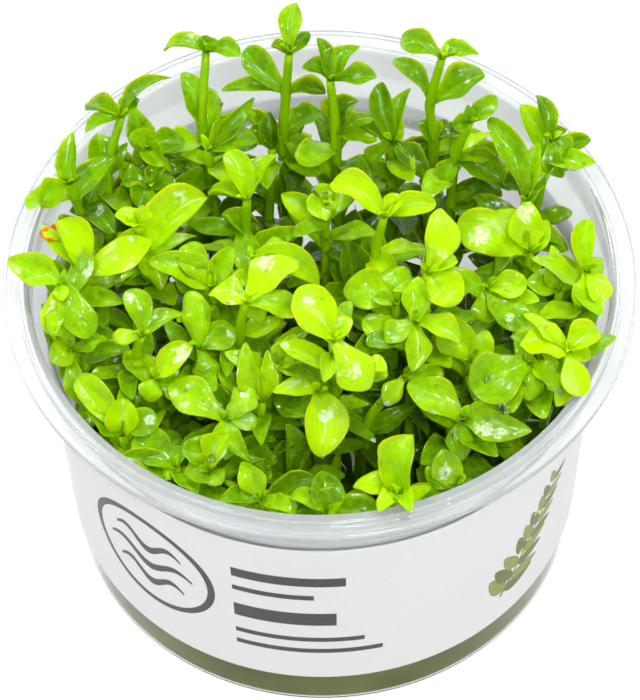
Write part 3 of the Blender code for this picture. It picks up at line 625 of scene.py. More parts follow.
def leaf_blade(base, stem_way, leaf, depth=0.0, shrink=1.0, roll=0.0):
    """Blade of a listed leaf, its tip slid along the line of sight, its size and roll changed a little."""
    tip = nearer(from_photo(leaf.px, leaf.py, base.z + leaf.rise), depth)
    tip = base + (tip - base) * shrink ** 0.5
    axis = (tip - base).normalized()
    facing = perpendicular(stem_way * 0.5 + Vector((0, 0, 0.6)) - VIEW_FORWARD * 0.4, axis)
    return Blade(base, tip, rolled(facing, axis, leaf.turn + roll), leaf.width * shrink, leaf.arch)


def withered_blade():
    node, leaf = WITHERED_LEAF
    return leaf_blade(from_photo(node.px, node.py, node.height), Vector((0, 0, 1)), leaf)


def trials():
    """Small changes to a leaf, the least first: depth along the line of sight, size and roll."""
    steps = [(depth, shrink, roll) for depth in (0, 1, -1, 2, -2, 3, -3, 4.5, -4.5, 6, -6)
             for shrink in (1, 0.85, 0.7, 0.55) for roll in (0, 18, -18, 36, -36)]
    return sorted(steps, key=lambda s: abs(s[0]) + (1 - s[1]) * 14 + abs(s[2]) * 0.06)


def within_reach(verts):
    return all(math.hypot(v.x, v.y) < LEAF_REACH for v in verts)


def nearer(point, depth):
    """Point slid along the line of sight toward the camera, which keeps its place in the photograph."""
    return point + (CAMERA - point).normalized() * depth


def stem_points(nodes, foot, depth):
    """Stem from its foot on the gel to its top node, upright at the foot and leaning outward above."""
    joints = [nearer(from_photo(n.px, n.py, n.height), depth) for n in nodes]
    low = joints[-1]
    start = Vector((foot.x, foot.y, GEL_TOP + GAP))
    bend = Vector((foot.x, foot.y, GEL_TOP + (low.z - GEL_TOP) * 0.5))
    curve = [start, start * 0.42 + bend * 0.46 + low * 0.12, start * 0.12 + bend * 0.46 + low * 0.42]
    return curve + joints[::-1]


def stem_radii(count):
    return [STEM_FOOT_RADIUS + (STEM_TOP_RADIUS - STEM_FOOT_RADIUS) * k / (count - 1) for k in range(count)]


def plant_stems(space):
    """Give each plantlet a foot on the gel under its lowest node, clear of the others."""
    shifts = [Vector((0, 0))]
    for ring in (2.0, 4.0, 6.0, 8.0, 10.0):
        for k in range(10):
            angle = 2 * math.pi * (k + ring / 4) / 10
            shifts.append(Vector((math.cos(angle), math.sin(angle))) * ring)
    tries = [(depth, shift) for depth in (0, 1.5, -1.5, 3, -3) for shift in shifts]
    stems = {}
    feet = []
    for name, nodes in PLANTLETS.items():
        low = from_photo(nodes[-1].px, nodes[-1].py, nodes[-1].height).xy
        pulled = low * min(ROOT_SPREAD, ROOT_CIRCLE / max(low.length, 1))
        for depth, shift in tries:
            foot = pulled + shift
            if foot.length > ROOT_CIRCLE or any((foot - f).length < ROOT_SPACING for f in feet):
                continue
            points = stem_points(nodes, foot, depth)
            if space.is_free(name, *tube(points, stem_radii(len(points)), GAP)):
                break
        else:
            raise RuntimeError("no clear foot for " + name)
        feet.append(foot)
        stems[name] = points
        space.add(name, *tube(points, stem_radii(len(points))))
    return stems


def place_leaf(space, blades, name, candidates):
    """Keep the first candidate blade that leaves the gap to the other plantlets, if one does."""
    for blade in candidates:
        verts, faces = blade_solid(blade, GAP)
        if within_reach(verts) and space.is_free(name, verts, faces):
            space.add(name, *blade_solid(blade))
            blades[name].append(blade)
            return


def listed_leaves(stems):
    """Every listed leaf with its plantlet, base and stem direction, the nearest to the camera first."""
    found = []
    for name, nodes in PLANTLETS.items():
        points = stems[name]
        for level, node in enumerate(nodes):
            base = points[-1 - level]
            way = (base - points[-2 - level]).normalized()
            found += [(name, base, way, leaf) for leaf in node.leaves]
    return sorted(found, key=lambda item: (CAMERA - item[1]).length)


def down_stem(points, drop):
    """Place and direction on a stem's plain lower stretch, a drop below its lowest listed node."""
    for high, low in ((points[3], points[2]), (points[2], points[1]), (points[1], points[0])):
        length = (high - low).length
        if drop <= length:
            return high.lerp(low, drop / length), (high - low).normalized()
        drop -= length
    return points[0], Vector((0, 0, 1))


def low_leaf_blades(base, way, heading, width=LOW_LEAF_WIDTH):
    """A low leaf at a heading, then turned and made smaller step by step."""
    for size in (1, 0.85, 0.7, 0.55):
        for turn in (0, 20, -20, 40, -40):
            angle = math.radians(heading + turn)
            out = Vector((math.cos(angle), math.sin(angle), LOW_LEAF_RISE)).normalized()
            facing = perpendicular(way + Vector((0, 0, 1)), out)
            tip = base + out * LOW_LEAF_LENGTH * size
            yield Blade(base - out * LOW_LEAF_ROOT, tip, facing, width * size, LEAF_ARCH)


def grow_plantlets(space):
    """Stems and blades of all plantlets, with the gap kept between plantlets."""
    stems = plant_stems(space)
    blades = {name: [] for name in PLANTLETS}
    steps = trials()
    for name, base, way, leaf in listed_leaves(stems):
        place_leaf(space, blades, name, (leaf_blade(base, way, leaf, *step) for step in steps))
    for number, (name, points) in enumerate(stems.items()):
        heading = number * LOW_PAIR_TURN
        for drop, turn in ((LOW_PAIR_DROP, 0), (LOW_PAIR_DROP + LOW_PAIR_STEP, LOW_PAIR_SPREAD)):
            base, way = down_stem(points, drop)
            place_leaf(space, blades, name, low_leaf_blades(base, way, heading + turn))
    return stems, blades


def wall_leaf_blades(base, way, turn):
    """A leaf held out to the cup's wall, among the low leaves that stay inside it and under the rim."""
    outward = math.degrees(math.atan2(base.y, base.x))
    for blade in low_leaf_blades(base, way, outward + turn):
        if blade.tip.z < WALL_LEAF_TOP and blade.tip.xy.length < WALL_LEAF_REACH:
            yield blade


def grow_undergrowth(space, stems):
    """More leaves down the stems, which fill the shade under the canopy and the gap along the wall."""
    blades = {name: [] for name in PLANTLETS}
    for name, points in stems.items():
        for drop, turn in WALL_LEAVES:
            base, way = down_stem(points, drop)
            if base.xy.length > WALL_STANDS_FROM:
                place_leaf(space, blades, name, wall_leaf_blades(base, way, turn))
    for number, (name, points) in enumerate(stems.items()):
        width = BACK_MORE_WIDTH if "back" in name else MORE_LEAF_WIDTH
        for level, drop in enumerate(MORE_PAIR_DROPS):
            base, way = down_stem(points, drop)
            if base.z < LOWEST_LEAF:
                continue
            heading = number * LOW_PAIR_TURN + 90 * (level + 1)
            for turn in (0, LOW_PAIR_SPREAD):
                place_leaf(space, blades, name, low_leaf_blades(base, way, heading + turn, width))
    return blades


class Shape:
    """Points, faces, material numbers and leaf marks gathered for one piece."""

    def __init__(self):
        self.verts = []
        self.faces = []
        self.slots = []
        self.marks = []

    def add(self, verts, faces, slot=0, marks=None):
        start = len(self.verts)
        self.verts += verts
        self.faces += [tuple(start + k for k in face) for face in faces]
        self.slots += [slot] * len(faces)
        self.marks += marks or [(0.5, 0.0, 0.0, 1.0)] * len(verts)

    def build(self, name, mats, smooth_angle=None):
        mesh = bpy.data.meshes.new(name)
        mesh.from_pydata([v * MM for v in self.verts], [], self.faces)
        for mat in mats:
            mesh.materials.append(mat)
        mesh.polygons.foreach_set("material_index", self.slots)
        marks = mesh.attributes.new("leaf_marks", "FLOAT_COLOR", "POINT")
        marks.data.foreach_set("color", [channel for mark in self.marks for channel in mark])
        mesh.shade_smooth()
        if smooth_angle:
            mesh.set_sharp_from_angle(angle=math.radians(smooth_angle))
        mesh.update()
        obj = bpy.data.objects.new(name, mesh)
        bpy.context.scene.collection.objects.link(obj)
        return obj


def finish_piece(obj, slot, *nodes):
    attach(obj, "root")
    if nodes:
        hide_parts(*nodes)
    return obj


# Leaves and stems.

LeafForm = namedtuple("LeafForm", "widest blunt foot cup droop wave phase twist sway lean tone")

# Kinds of leaf: weight, then ranges of the widest place, bluntness, cupping and how the end droops.
LEAF_KINDS = (
    (0.18, (0.56, 0.64), (1.9, 2.4), (0.00, 0.35), (-0.02, 0.08)),
    (0.32, (0.46, 0.56), (1.4, 1.7), (0.10, 0.50), (-0.06, 0.08)),
    (0.16, (0.34, 0.44), (1.25, 1.5), (0.15, 0.70), (-0.04, 0.14)),
    (0.17, (0.46, 0.60), (1.5, 2.0), (0.70, 1.15), (-0.04, 0.06)),
    (0.17, (0.50, 0.62), (1.5, 2.0), (-0.45, 0.05), (0.12, 0.30)),
)


def random_form(rng, tone):
    kind = rng.choices(LEAF_KINDS, [row[0] for row in LEAF_KINDS])[0]
    return LeafForm(
        widest=rng.uniform(*kind[1]),
        blunt=rng.uniform(*kind[2]),
        foot=rng.uniform(1.1, 2.1),
        cup=rng.uniform(*kind[3]),
        droop=rng.uniform(*kind[4]),
        wave=rng.uniform(0.08, 0.36),
        phase=rng.uniform(0, 1),
        twist=math.radians(rng.uniform(-34, 34)),
        sway=rng.uniform(-0.09, 0.09),
        lean=rng.uniform(-0.16, 0.16),
        tone=min(1, max(0, tone + rng.uniform(-0.26, 0.18))),
    )


def outline_share(along, form):
    """Share of the half width at a share of a leaf's length: a narrow foot and a round end."""
    if along < form.widest:
        return FOOT_SHARE + (1 - FOOT_SHARE) * math.sin(math.pi / 2 * (along / form.widest) ** form.foot)
    return max(0.0, 1 - ((along - form.widest) / (1 - form.widest)) ** form.blunt) ** (1 / form.blunt)


def leaf_surface(blade, form, along, across, side_sign):
    """Point on a leaf's upper (+1) or lower (-1) face."""
    point, side, up = blade_frame(blade, along)
    length = (blade.tip - blade.base).length
    turn = form.twist * along
    side, up = side * math.cos(turn) + up * math.sin(turn), up * math.cos(turn) - side * math.sin(turn)
    share = outline_share(along, form)
    half = blade.width / 2 * share * (1 + form.lean * math.copysign(1, across))
    sway = form.sway * length * math.sin(math.pi * along)
    lift = (LEAF_FOLD + form.cup) * half * abs(across) ** CUP_POWER
    wave = math.sin(math.tau * (along * WAVES_ALONG + form.phase + across * WAVE_SLANT))
    slow_wave = math.sin(math.tau * (along * SLOW_WAVES_ALONG + form.phase * 3))
    ripple = form.wave * half * (across * across * wave + SLOW_WAVE_SHARE * slow_wave)
    sag = -form.droop * length * along ** 3
    rib = math.exp(-(across / RIB_WIDTH) ** 2)
    thick = LEAF_HALF_THICKNESS * (1 - abs(across) ** MARGIN_POWER) * min(1.0, 0.25 + share)
    if side_sign > 0:
        height = thick - RIB_GROOVE * rib * share
    else:
        height = -thick - RIB_KEEL * rib * (1.1 - along)
    return point + side * (half * across + sway) + up * (lift + ripple + sag + height)


def add_leaf(shape, blade, form, rows, columns):
    """One closed fleshy leaf: an upper and a lower face that meet at the rounded margin."""
    verts = []
    marks = []
    upper = []
    lower = []
    for i in range(rows):
        along = math.sin(math.pi / 2 * i / rows)
        top_row = []
        low_row = []
        for j in range(columns + 1):
            across = math.sin(math.pi / 2 * (2 * j / columns - 1))
            mark = (form.tone, along, abs(across), 0.0)
            top_row.append(len(verts))
            verts.append(leaf_surface(blade, form, along, across, 1))
            marks.append(mark)
            if j in (0, columns):
                low_row.append(top_row[-1])
                continue
            low_row.append(len(verts))
            verts.append(leaf_surface(blade, form, along, across, -1))
            marks.append(mark)
        upper.append(top_row)
        lower.append(low_row)
    tip = len(verts)
    verts.append(leaf_surface(blade, form, 1.0, 0.0, 1))
    marks.append((form.tone, 1.0, 1.0, 0.0))
    faces = [tuple(lower[0][1:-1]) + tuple(upper[0][::-1])]
    for i in range(rows - 1):
        for j in range(columns):
            faces.append((upper[i][j], upper[i][j + 1], upper[i + 1][j + 1], upper[i + 1][j]))
            faces.append((lower[i][j], lower[i + 1][j], lower[i + 1][j + 1], lower[i][j + 1]))
    for j in range(columns):
        faces.append((upper[-1][j], upper[-1][j + 1], tip))
        faces.append((lower[-1][j], tip, lower[-1][j + 1]))
    shape.add(verts, faces, 0, marks)


def spline(points, steps):
    """Smooth curve through points, with some steps from each one to the next."""
    ends = [points[0] * 2 - points[1]] + list(points) + [points[-1] * 2 - points[-2]]
    curve = []
    for before, start, end, after in zip(ends, ends[1:], ends[2:], ends[3:]):
        for step in range(steps):
            t = step / steps
            curve.append(0.5 * (2 * start + (end - before) * t
                                + (2 * before - 5 * start + 4 * end - after) * t * t
                                + (3 * start - before - 3 * end + after) * t ** 3))
    curve.append(points[-1].copy())
    return curve


def round_tube(points, radii, sides):
    """Closed round tube along points."""
    verts = []
    side = Vector((0.2, 1, 0.1)).normalized()
    for k, (point, radius) in enumerate(zip(points, radii)):
        along = way_along(points, k)
        side = perpendicular(side, along)
        verts += ring_of(point, side, along.cross(side), radius, sides)
    foot = tuple(range(sides))[::-1]
    top = tuple(range(len(verts) - sides, len(verts)))
    return verts, [foot] + ring_faces(len(points), sides) + [top]


def add_stem(shape, points, tone):
    """Round stem through the same joints as its solid, a little swollen at each joint that bears leaves."""
    curve = spline(points, SMOOTH_STEM_STEPS)
    count = len(curve)
    radii = []
    marks = []
    for k in range(count):
        share = k / (count - 1)
        radius = (STEM_FOOT_RADIUS + (STEM_TOP_RADIUS - STEM_FOOT_RADIUS) * share) * SMOOTH_STEM_GROWTH
        joint = k % SMOOTH_STEM_STEPS == 0 and k >= 3 * SMOOTH_STEM_STEPS
        radii.append(radius * (NODE_SWELL if joint else 1.0))
        marks += [(tone, k / count, 0.5, 0.0)] * SMOOTH_STEM_SIDES
    radii[-1] *= STEM_END_SHRINK
    shape.add(*round_tube(curve, radii, SMOOTH_STEM_SIDES), 1, marks)


def add_bud(shape, points, heading, rng, tone):
    """Upright young leaves at a stem's top end, the first of them at a heading."""
    top = points[-1]
    way = (points[-1] - points[-2]).normalized()
    side = perpendicular(Vector((math.cos(heading), math.sin(heading), 0.1)), way)
    for number in range(BUD_LEAVES):
        out = rolled(side, way, 360 / BUD_LEAVES * number + rng.uniform(-15, 15))
        length = BUD_LEAF_LENGTH * rng.uniform(0.7, 1.2)
        aim = (way * rng.uniform(1.1, 1.7) + out * 0.8).normalized()
        facing = perpendicular(way - out * 0.6, aim)
        tip = top + out * 0.3 + aim * length
        blade = Blade(top + out * 0.2, tip, facing, length * BUD_LEAF_WIDTH, BUD_LEAF_ARCH)
        add_leaf(shape, blade, random_form(rng, tone - BUD_DARKER)._replace(cup=BUD_LEAF_CUP), *BUD_GRID)


def painted_shade_tone(point):
    return PALEST_TONE * min(1.0, max(0.0, (point.z - SHADE_TOP) / SHADE_TO_LIGHT))


def dress_plantlet(name, points, blades, more, mats, rng):
    """A plantlet's stem, its listed and low leaves, more leaves in the shade and the bud."""
    shape = Shape()
    paleness = PALE.get(name.removeprefix("plantlet_"), 0.0)
    at_back = "back" in name
    # Stem and leaf tones carry painted shade: darker low down, at the back and in the undergrowth.
    top_tone = painted_shade_tone(points[-1])
    add_stem(shape, points, top_tone * (BACK_STEM_SHADE if at_back else STEM_TONE))
    for blade in blades:
        form = random_form(rng, painted_shade_tone(blade.base) + paleness - (BACK_SHADE if at_back else 0))
        if at_back:
            form = form._replace(cup=abs(form.cup) + BACK_CUP, droop=form.droop + BACK_DROOP)
            blade = blade._replace(width=blade.width * BACK_WIDTH)
        add_leaf(shape, blade, form, *LEAF_GRID)
    for blade in more:
        add_leaf(shape, blade, random_form(rng, painted_shade_tone(blade.base) * UNDERGROWTH_SHADE), *UNDERGROWTH_GRID)
    if blades:
        out = blades[0].tip - blades[0].base
        add_bud(shape, points, math.atan2(out.y, out.x) + math.pi / 2, rng, top_tone + paleness)
    return finish_piece(shape.build(name + "_leaves", mats), "leaf_green", name)


# Cup, sleeve, gel and roots.

def eased(profile, bend):
    """Profile with a small curve at each corner and a point past it that keeps a long side straight."""
    out = [profile[0]]
    for before, corner, after in zip(profile, profile[1:], profile[2:]):
        middle = Vector(corner)
        back = Vector(before) - middle
        ahead = Vector(after) - middle
        first = middle + back * min(CURVE_SHARE, bend / max(back.length, 0.01))
        third = middle + ahead * min(CURVE_SHARE, bend / max(ahead.length, 0.01))
        if back.length > LONG_SIDE * bend:
            out.append(tuple(middle + back * SUPPORT_AT * bend / back.length))
        out += [tuple(first), tuple(first * 0.25 + middle * 0.5 + third * 0.25), tuple(third)]
        if ahead.length > LONG_SIDE * bend:
            out.append(tuple(middle + ahead * SUPPORT_AT * bend / ahead.length))
    return out + [profile[-1]]


def thin_cup_profile():
    """The cup's outline with the wall and the folded rim as thin as the real ones."""
    outside = [
        (0, FOOT_HOLLOW), (FOOT_RADIUS - 3, FOOT_HOLLOW), (FOOT_RADIUS - 2, 0), (FOOT_RADIUS - 0.15, 0),
        (wall_radius(0.4), 0.4), (wall_radius(SHOULDER_START), SHOULDER_START),
        (SHOULDER_RADIUS, SHOULDER_END), (MOUTH_RADIUS, FLANGE_UNDERSIDE),
    ]
    under_fold = [(46.5, 60.7), (46.9, 60.7), (47.1, 60.2), (49.3, 60.3), (49.5, 59.8)]
    rim = [
        (FLANGE_RADIUS, FLANGE_UNDERSIDE), (FLANGE_RADIUS, FLANGE_TOP), FLANGE_INNER, (47.8, 61.0),
        (FOLD_RADIUS, RIM_HEIGHT), (45.9, RIM_HEIGHT), (45.6, 61.2),
    ]
    inside = [
        (MOUTH_RADIUS - THIN_WALL, 59.5), (SHOULDER_RADIUS - THIN_WALL, 55.5),
        (wall_radius(SHOULDER_START) - THIN_WALL, 52.7),
        (wall_radius(FLOOR_TOP) - THIN_WALL, FLOOR_TOP), (0, FLOOR_TOP),
    ]
    return outside + under_fold + rim + inside


def clear_cup(mats):
    """The cup in its plastics: clear wall, hazy band above the sleeve, and shoulder, rim and flange."""
    outline = eased(thin_cup_profile(), CUP_BEND)
    profile = []
    for start, end in itertools.pairwise(outline):
        profile.append(start)
        for level in sorted(PLASTIC_LEVELS, key=lambda height: abs(height - start[1])):
            if (start[1] - level) * (end[1] - level) < 0:
                share = (level - start[1]) / (end[1] - start[1])
                profile.append(tuple(Vector(start).lerp(Vector(end), share)))
    profile.append(outline[-1])
    shape = Shape()
    shape.add(*turned(profile, ROUND_SEGMENTS))
    for number, face in enumerate(shape.faces):
        lowest = min(shape.verts[k].z for k in face)
        shape.slots[number] = sum(lowest > level - 0.01 for level in PLASTIC_LEVELS)
    return finish_piece(shape.build("clear_cup", mats), "clear_plastic", "cup")


def on_sleeve(way_round, height, offset):
    """Point on the sleeve from a distance round it (0 at the front, + to the right) and a height."""
    angle = way_round / SLEEVE_RADIUS
    radius = wall_radius(height) + offset
    return Vector((radius * math.sin(angle), -radius * math.cos(angle), height))


def oval(centre, length, width, degrees, count=20):
    """Leaf-like outline with a pointed end."""
    turn = math.radians(degrees)
    points = []
    for k in range(count):
        angle = math.tau * k / count
        x = math.cos(angle) * length / 2
        y = math.sin(angle) * width / 2 * (1 - 0.35 * math.cos(angle))
        points.append((centre[0] + x * math.cos(turn) - y * math.sin(turn),
                       centre[1] + x * math.sin(turn) + y * math.cos(turn)))
    return points


def circle(centre, radius, count=72):
    return [(centre[0] + radius * math.cos(math.tau * k / count),
             centre[1] + radius * math.sin(math.tau * k / count)) for k in range(count)]


def wave_line(left, right, height, swing, thick, count=36):
    """Closed outline of a wavy stroke."""
    upper = []
    lower = []
    for k in range(count + 1):
        share = k / count
        middle = height + swing * math.sin(math.tau * 1.5 * share)
        across = left + (right - left) * share
        half = thick / 2 * (0.35 + 0.65 * math.sin(math.pi * share))
        upper.append((across, middle + half))
        lower.append((across, middle - half))
    return lower + upper[::-1]


def sprig(foot, top, rng):
    """Outlines of a stem with pairs of leaves, which get smaller and steeper toward its top."""
    way = (top - foot).normalized()
    aside = Vector((-way.y, way.x))
    lean = math.degrees(math.atan2(way.y, way.x))
    low_half, top_half = SPRIG_STEM_HALVES
    shapes = [(2, [tuple(foot - aside * low_half), tuple(top - aside * top_half),
                   tuple(top + aside * top_half), tuple(foot + aside * low_half)])]
    for level in range(SPRIG_LEVELS):
        share = (level + 0.4) / SPRIG_LEVELS
        size = SPRIG_LEAF * (1.12 - 0.55 * share)
        for hand in (1, -1):
            swing = lean + hand * (58 - 20 * share) + rng.uniform(-8, 8)
            out = Vector((math.cos(math.radians(swing)), math.sin(math.radians(swing))))
            leaf = oval(foot.lerp(top, share) + out * size * 0.55, size, size * SPRIG_LEAF_WIDTH, swing)
            shapes.append((2 + (level + (hand > 0)) % 2, leaf))
    return shapes


def printed_shapes():
    """Outlines printed on the sleeve, in order, each with the number of its ink. Ink 0 is bare paper."""
    cx, cy = RING_CENTRE
    shapes = [(1, circle(RING_CENTRE, RING_RADIUS)), (0, circle(RING_CENTRE, RING_RADIUS - RING_LINE))]
    for rise, reach in RING_WAVES:
        shapes.append((1, wave_line(cx - reach, cx + reach, cy + rise, WAVE_SWING, WAVE_THICKNESS)))
    for left, low, right, high in PLAIN_BARS:
        shapes.append((1, [(left, low), (right, low), (right, high), (left, high)]))
    shapes += sprig(Vector(SPRIG_FOOT), Vector(SPRIG_TOP), random.Random(SEEDS["print"]))
    for spot in SPRIG_SPECKS:
        shapes.append((4, oval(spot, *SPECK_SIZE, 40, 10)))
    return shapes


def in_short_steps(outline):
    """Outline with long edges parted, so that the print follows the round sleeve."""
    points = []
    for start, end in zip(outline, outline[1:] + outline[:1]):
        pieces = max(1, math.ceil(math.dist(start, end) / PRINT_STEP))
        for k in range(pieces):
            share = k / pieces
            points.append((start[0] + (end[0] - start[0]) * share, start[1] + (end[1] - start[1]) * share))
    return points


def is_inside(point, outline):
    x, y = point
    inside = False
    for (x1, y1), (x2, y2) in zip(outline, outline[1:] + outline[:1]):
        if (y1 > y) != (y2 > y) and x < x1 + (y - y1) * (x2 - x1) / (y2 - y1):
            inside = not inside
    return inside


def sleeve_sheet():
    """Flat sheet of the sleeve cut along the outlines of its print, with the ink of each face."""
    shapes = [(ink, in_short_steps(outline)) for ink, outline in printed_shapes()]
    half = math.pi * SLEEVE_RADIUS
    points = []
    edges = []
    for k in range(ROUND_SEGMENTS + 1):
        across = -half + 2 * half * k / ROUND_SEGMENTS
        for row in range(SLEEVE_ROWS + 1):
            points.append((across, LABEL_BOTTOM + (LABEL_TOP - LABEL_BOTTOM) * row / SLEEVE_ROWS))
    for _, outline in shapes:
        start = len(points)
        count = len(outline)
        points += outline
        edges += [(start + k, start + (k + 1) % count) for k in range(count)]
    cut = delaunay_2d_cdt([Vector(p) for p in points], edges, [], 0, 1e-5)
    flat, faces = cut[0], cut[2]
    boxes = [(min(p[0] for p in o), max(p[0] for p in o), min(p[1] for p in o), max(p[1] for p in o))
             for _, o in shapes]
    inks = []
    for face in faces:
        x = sum(flat[k].x for k in face) / len(face)
        y = sum(flat[k].y for k in face) / len(face)
        ink = 0
        for (number, outline), (x0, x1, y0, y1) in zip(shapes, boxes):
            if x0 < x < x1 and y0 < y < y1 and is_inside((x, y), outline):
                ink = number
        inks.append(ink)
    return flat, faces, inks


def sleeve(mats):
    """Paper sleeve with its print: an outer skin, a plain inner skin and the paper's two cut edges."""
    flat, faces, inks = sleeve_sheet()
    shape = Shape()
    outer = [on_sleeve(p.x, p.y, GAP + LABEL_THICKNESS) for p in flat]
    shape.verts += outer
    shape.marks += [(0.5, 0.0, 0.0, 1.0)] * len(outer)
    shape.faces += [tuple(face) for face in faces]
    shape.slots += inks
    rows = [(LABEL_TOP, GAP + LABEL_THICKNESS), (LABEL_TOP, GAP), (LABEL_BOTTOM, GAP),
            (LABEL_BOTTOM, GAP + LABEL_THICKNESS)]
    rings = [(wall_radius(height) + offset, height) for height, offset in rows]
    shape.add(*turned(rings, ROUND_SEGMENTS), len(mats) - 1)
    return finish_piece(shape.build("paper_sleeve", mats, 40), "label_paper", "label")


def gel_piece(mat):
    wall = THIN_WALL + GEL_CLEARANCE
    bottom = FLOOR_TOP + GEL_CLEARANCE
    reach = wall_radius(GEL_TOP) - wall
    side = [(0, bottom), (wall_radius(bottom) - wall, bottom), (reach, GEL_TOP + GEL_CREEP),
            (reach - GEL_CREEP_WIDTH, GEL_TOP + 0.1), (GEL_FLAT_RADIUS, GEL_TOP)]
    top = [(radius, GEL_TOP) for radius in range(GEL_FLAT_RADIUS - GEL_RING_STEP, -1, -GEL_RING_STEP)]
    verts, faces = turned(eased(side, GEL_BEND) + top, ROUND_SEGMENTS)
    for vert in verts:
        if vert.z > GEL_TOP - 0.5:
            swell = noise.noise(Vector((vert.x, vert.y, 3)) * GEL_SWELL_SCALE) * GEL_SWELL
            vert.z += swell * min(1.0, (reach - math.hypot(vert.x, vert.y)) / GEL_RING_STEP)
    shape = Shape()
    shape.add(verts, faces)
    return finish_piece(shape.build("nutrient_gel", [mat]), "gel_jelly", "gel")


def wandering(start, way, length, steps, rng, bend):
    """Points of a thread that starts one way and wanders."""
    points = [start.copy()]
    for _ in range(steps):
        jog = Vector((rng.gauss(0, 1), rng.gauss(0, 1), rng.gauss(0, 1)))
        way = (way + jog * bend).normalized()
        points.append(points[-1] + way * (length / steps))
    return points


def thin_radii(count, radius):
    return [radius * (1.0 - 0.75 * (k / (count - 1)) ** 2) for k in range(count)]


def roots_in_gel(stems, mat):
    """Tangled root threads inside the gel, out to its clear rim."""
    rng = random.Random(SEEDS["gel_roots"])
    shape = Shape()
    reach = wall_radius(6) - WALL - ROOT_WALL_GAP
    for points in stems.values():
        for _ in range(ROOTS_A_PLANT):
            angle = rng.uniform(0, math.tau)
            way = Vector((math.cos(angle), math.sin(angle), rng.uniform(*ROOT_SLOPES)))
            start = Vector((points[0].x, points[0].y, GEL_TOP - 0.8))
            thread = wandering(start, way, rng.uniform(*ROOT_LENGTHS), ROOT_STEPS, rng, ROOT_BEND)
            for point in thread:
                point.z = min(GEL_TOP - 0.7, max(GEL_BOTTOM + 0.6, point.z))
                flat = math.hypot(point.x, point.y)
                if flat > reach:
                    point.x *= reach / flat
                    point.y *= reach / flat
            shape.add(*round_tube(thread, thin_radii(len(thread), rng.uniform(*ROOT_RADII)), ROOT_SIDES))
    return finish_piece(shape.build("root_tangle", [mat]), "leaf_green")


def air_roots(stems, mat):
    """Pale root threads and old stem ends in the shade between the stems."""
    rng = random.Random(SEEDS["air_roots"])
    shape = Shape()
    reach = wall_radius(14) - 2
    for px, py, px2, py2, height, height2 in ROOT_THREADS:
        start, end = from_photo(px, py, height), from_photo(px2, py2, height2)
        middle = (start + end) / 2 + Vector((rng.uniform(-1, 1), rng.uniform(-1, 1), 1.0))
        thread = spline([start, middle, end], 6)
        shape.add(*round_tube(thread, thin_radii(len(thread), THREAD_RADIUS), 6))
    for points in stems.values():
        for _ in range(AIR_ROOTS_A_PLANT):
            base = down_stem(points, rng.uniform(*AIR_ROOT_DROPS))[0]
            angle = rng.uniform(0, math.tau)
            out = Vector((math.cos(angle), math.sin(angle), AIR_ROOT_SLOPE)).normalized()
            length = rng.uniform(*AIR_ROOT_LENGTHS)
            thread = wandering(base, out, length, AIR_ROOT_STEPS, rng, AIR_ROOT_BEND)
            thread = [p for p in thread if p.z > GEL_TOP + 0.5 and math.hypot(p.x, p.y) < reach]
            if len(thread) > AIR_ROOT_POINTS:
                radii = thin_radii(len(thread), rng.uniform(*AIR_ROOT_RADII))
                shape.add(*round_tube(thread, radii, ROOT_SIDES))
    return finish_piece(shape.build("air_roots", [mat]), "leaf_green")


def withered_piece(mats):
    """The dry leaf, a little nearer to the camera than its solid, so that it shows between its neighbours."""
    blade = withered_blade()
    blade = blade._replace(base=nearer(blade.base, WITHERED_RISE), tip=nearer(blade.tip, WITHERED_RISE))
    form = random_form(random.Random(SEEDS["dry_leaf"]), 0.5)
    form = form._replace(cup=0.75, wave=0.3, widest=0.5, droop=-0.03, twist=0.3)
    shape = Shape()
    add_leaf(shape, blade, form, *WITHERED_GRID)
    return finish_piece(shape.build("withered_leaf_detail", mats), "withered_brown", "withered_leaf")


# Water.

def dome(centre, normal, radius, height, sides=14, rings=4):
    """Closed drop on a surface: a low dome over a flat foot."""
    side = perpendicular(Vector((0.3, 1, 0.2)), normal)
    other = normal.cross(side)
    verts = []
    for ring in range(rings):
        lift = math.pi / 2 * ring / rings
        middle = centre + normal * height * math.sin(lift)
        verts += ring_of(middle, side, other, radius * math.cos(lift), sides)
    faces = [tuple(range(sides))[::-1]] + ring_faces(rings, sides)
    faces += tip_faces(len(verts) - sides, sides, len(verts))
    verts.append(centre + normal * height)
    return verts, faces


def canopy_tree(pieces):
    """All plantlets' faces in one search tree, in millimetres."""
    verts = []
    faces = []
    for obj in pieces:
        start = len(verts)
        verts += [v.co / MM for v in obj.data.vertices]
        faces += [tuple(start + k for k in p.vertices) for p in obj.data.polygons]
    return BVHTree.FromPolygons(verts, faces)


def sight_line(px, py):
    return (from_photo(px, py, 20) - CAMERA).normalized()


def water_drops(tree, mat):
    """Drops on the leaves, the larger ones where the photograph shows them."""
    rng = random.Random(SEEDS["drops"])
    shape = Shape()
    spots = list(LARGE_DROPS)
    for _ in range(SMALL_DROPS):
        spots.append((rng.uniform(*DROP_FIELD_X), rng.uniform(*DROP_FIELD_Y), rng.uniform(*SMALL_DROP_RADII)))
    for px, py, radius in spots:
        place, normal, _, _ = tree.ray_cast(CAMERA, sight_line(px, py))
        if place is None or normal.z < LEAST_NORMAL_RISE:
            continue
        shape.add(*dome(place - normal * DROP_SINK, normal, radius, radius * DROP_FLATNESS))
    return finish_piece(shape.build("water_drops", [mat]), "clear_plastic")


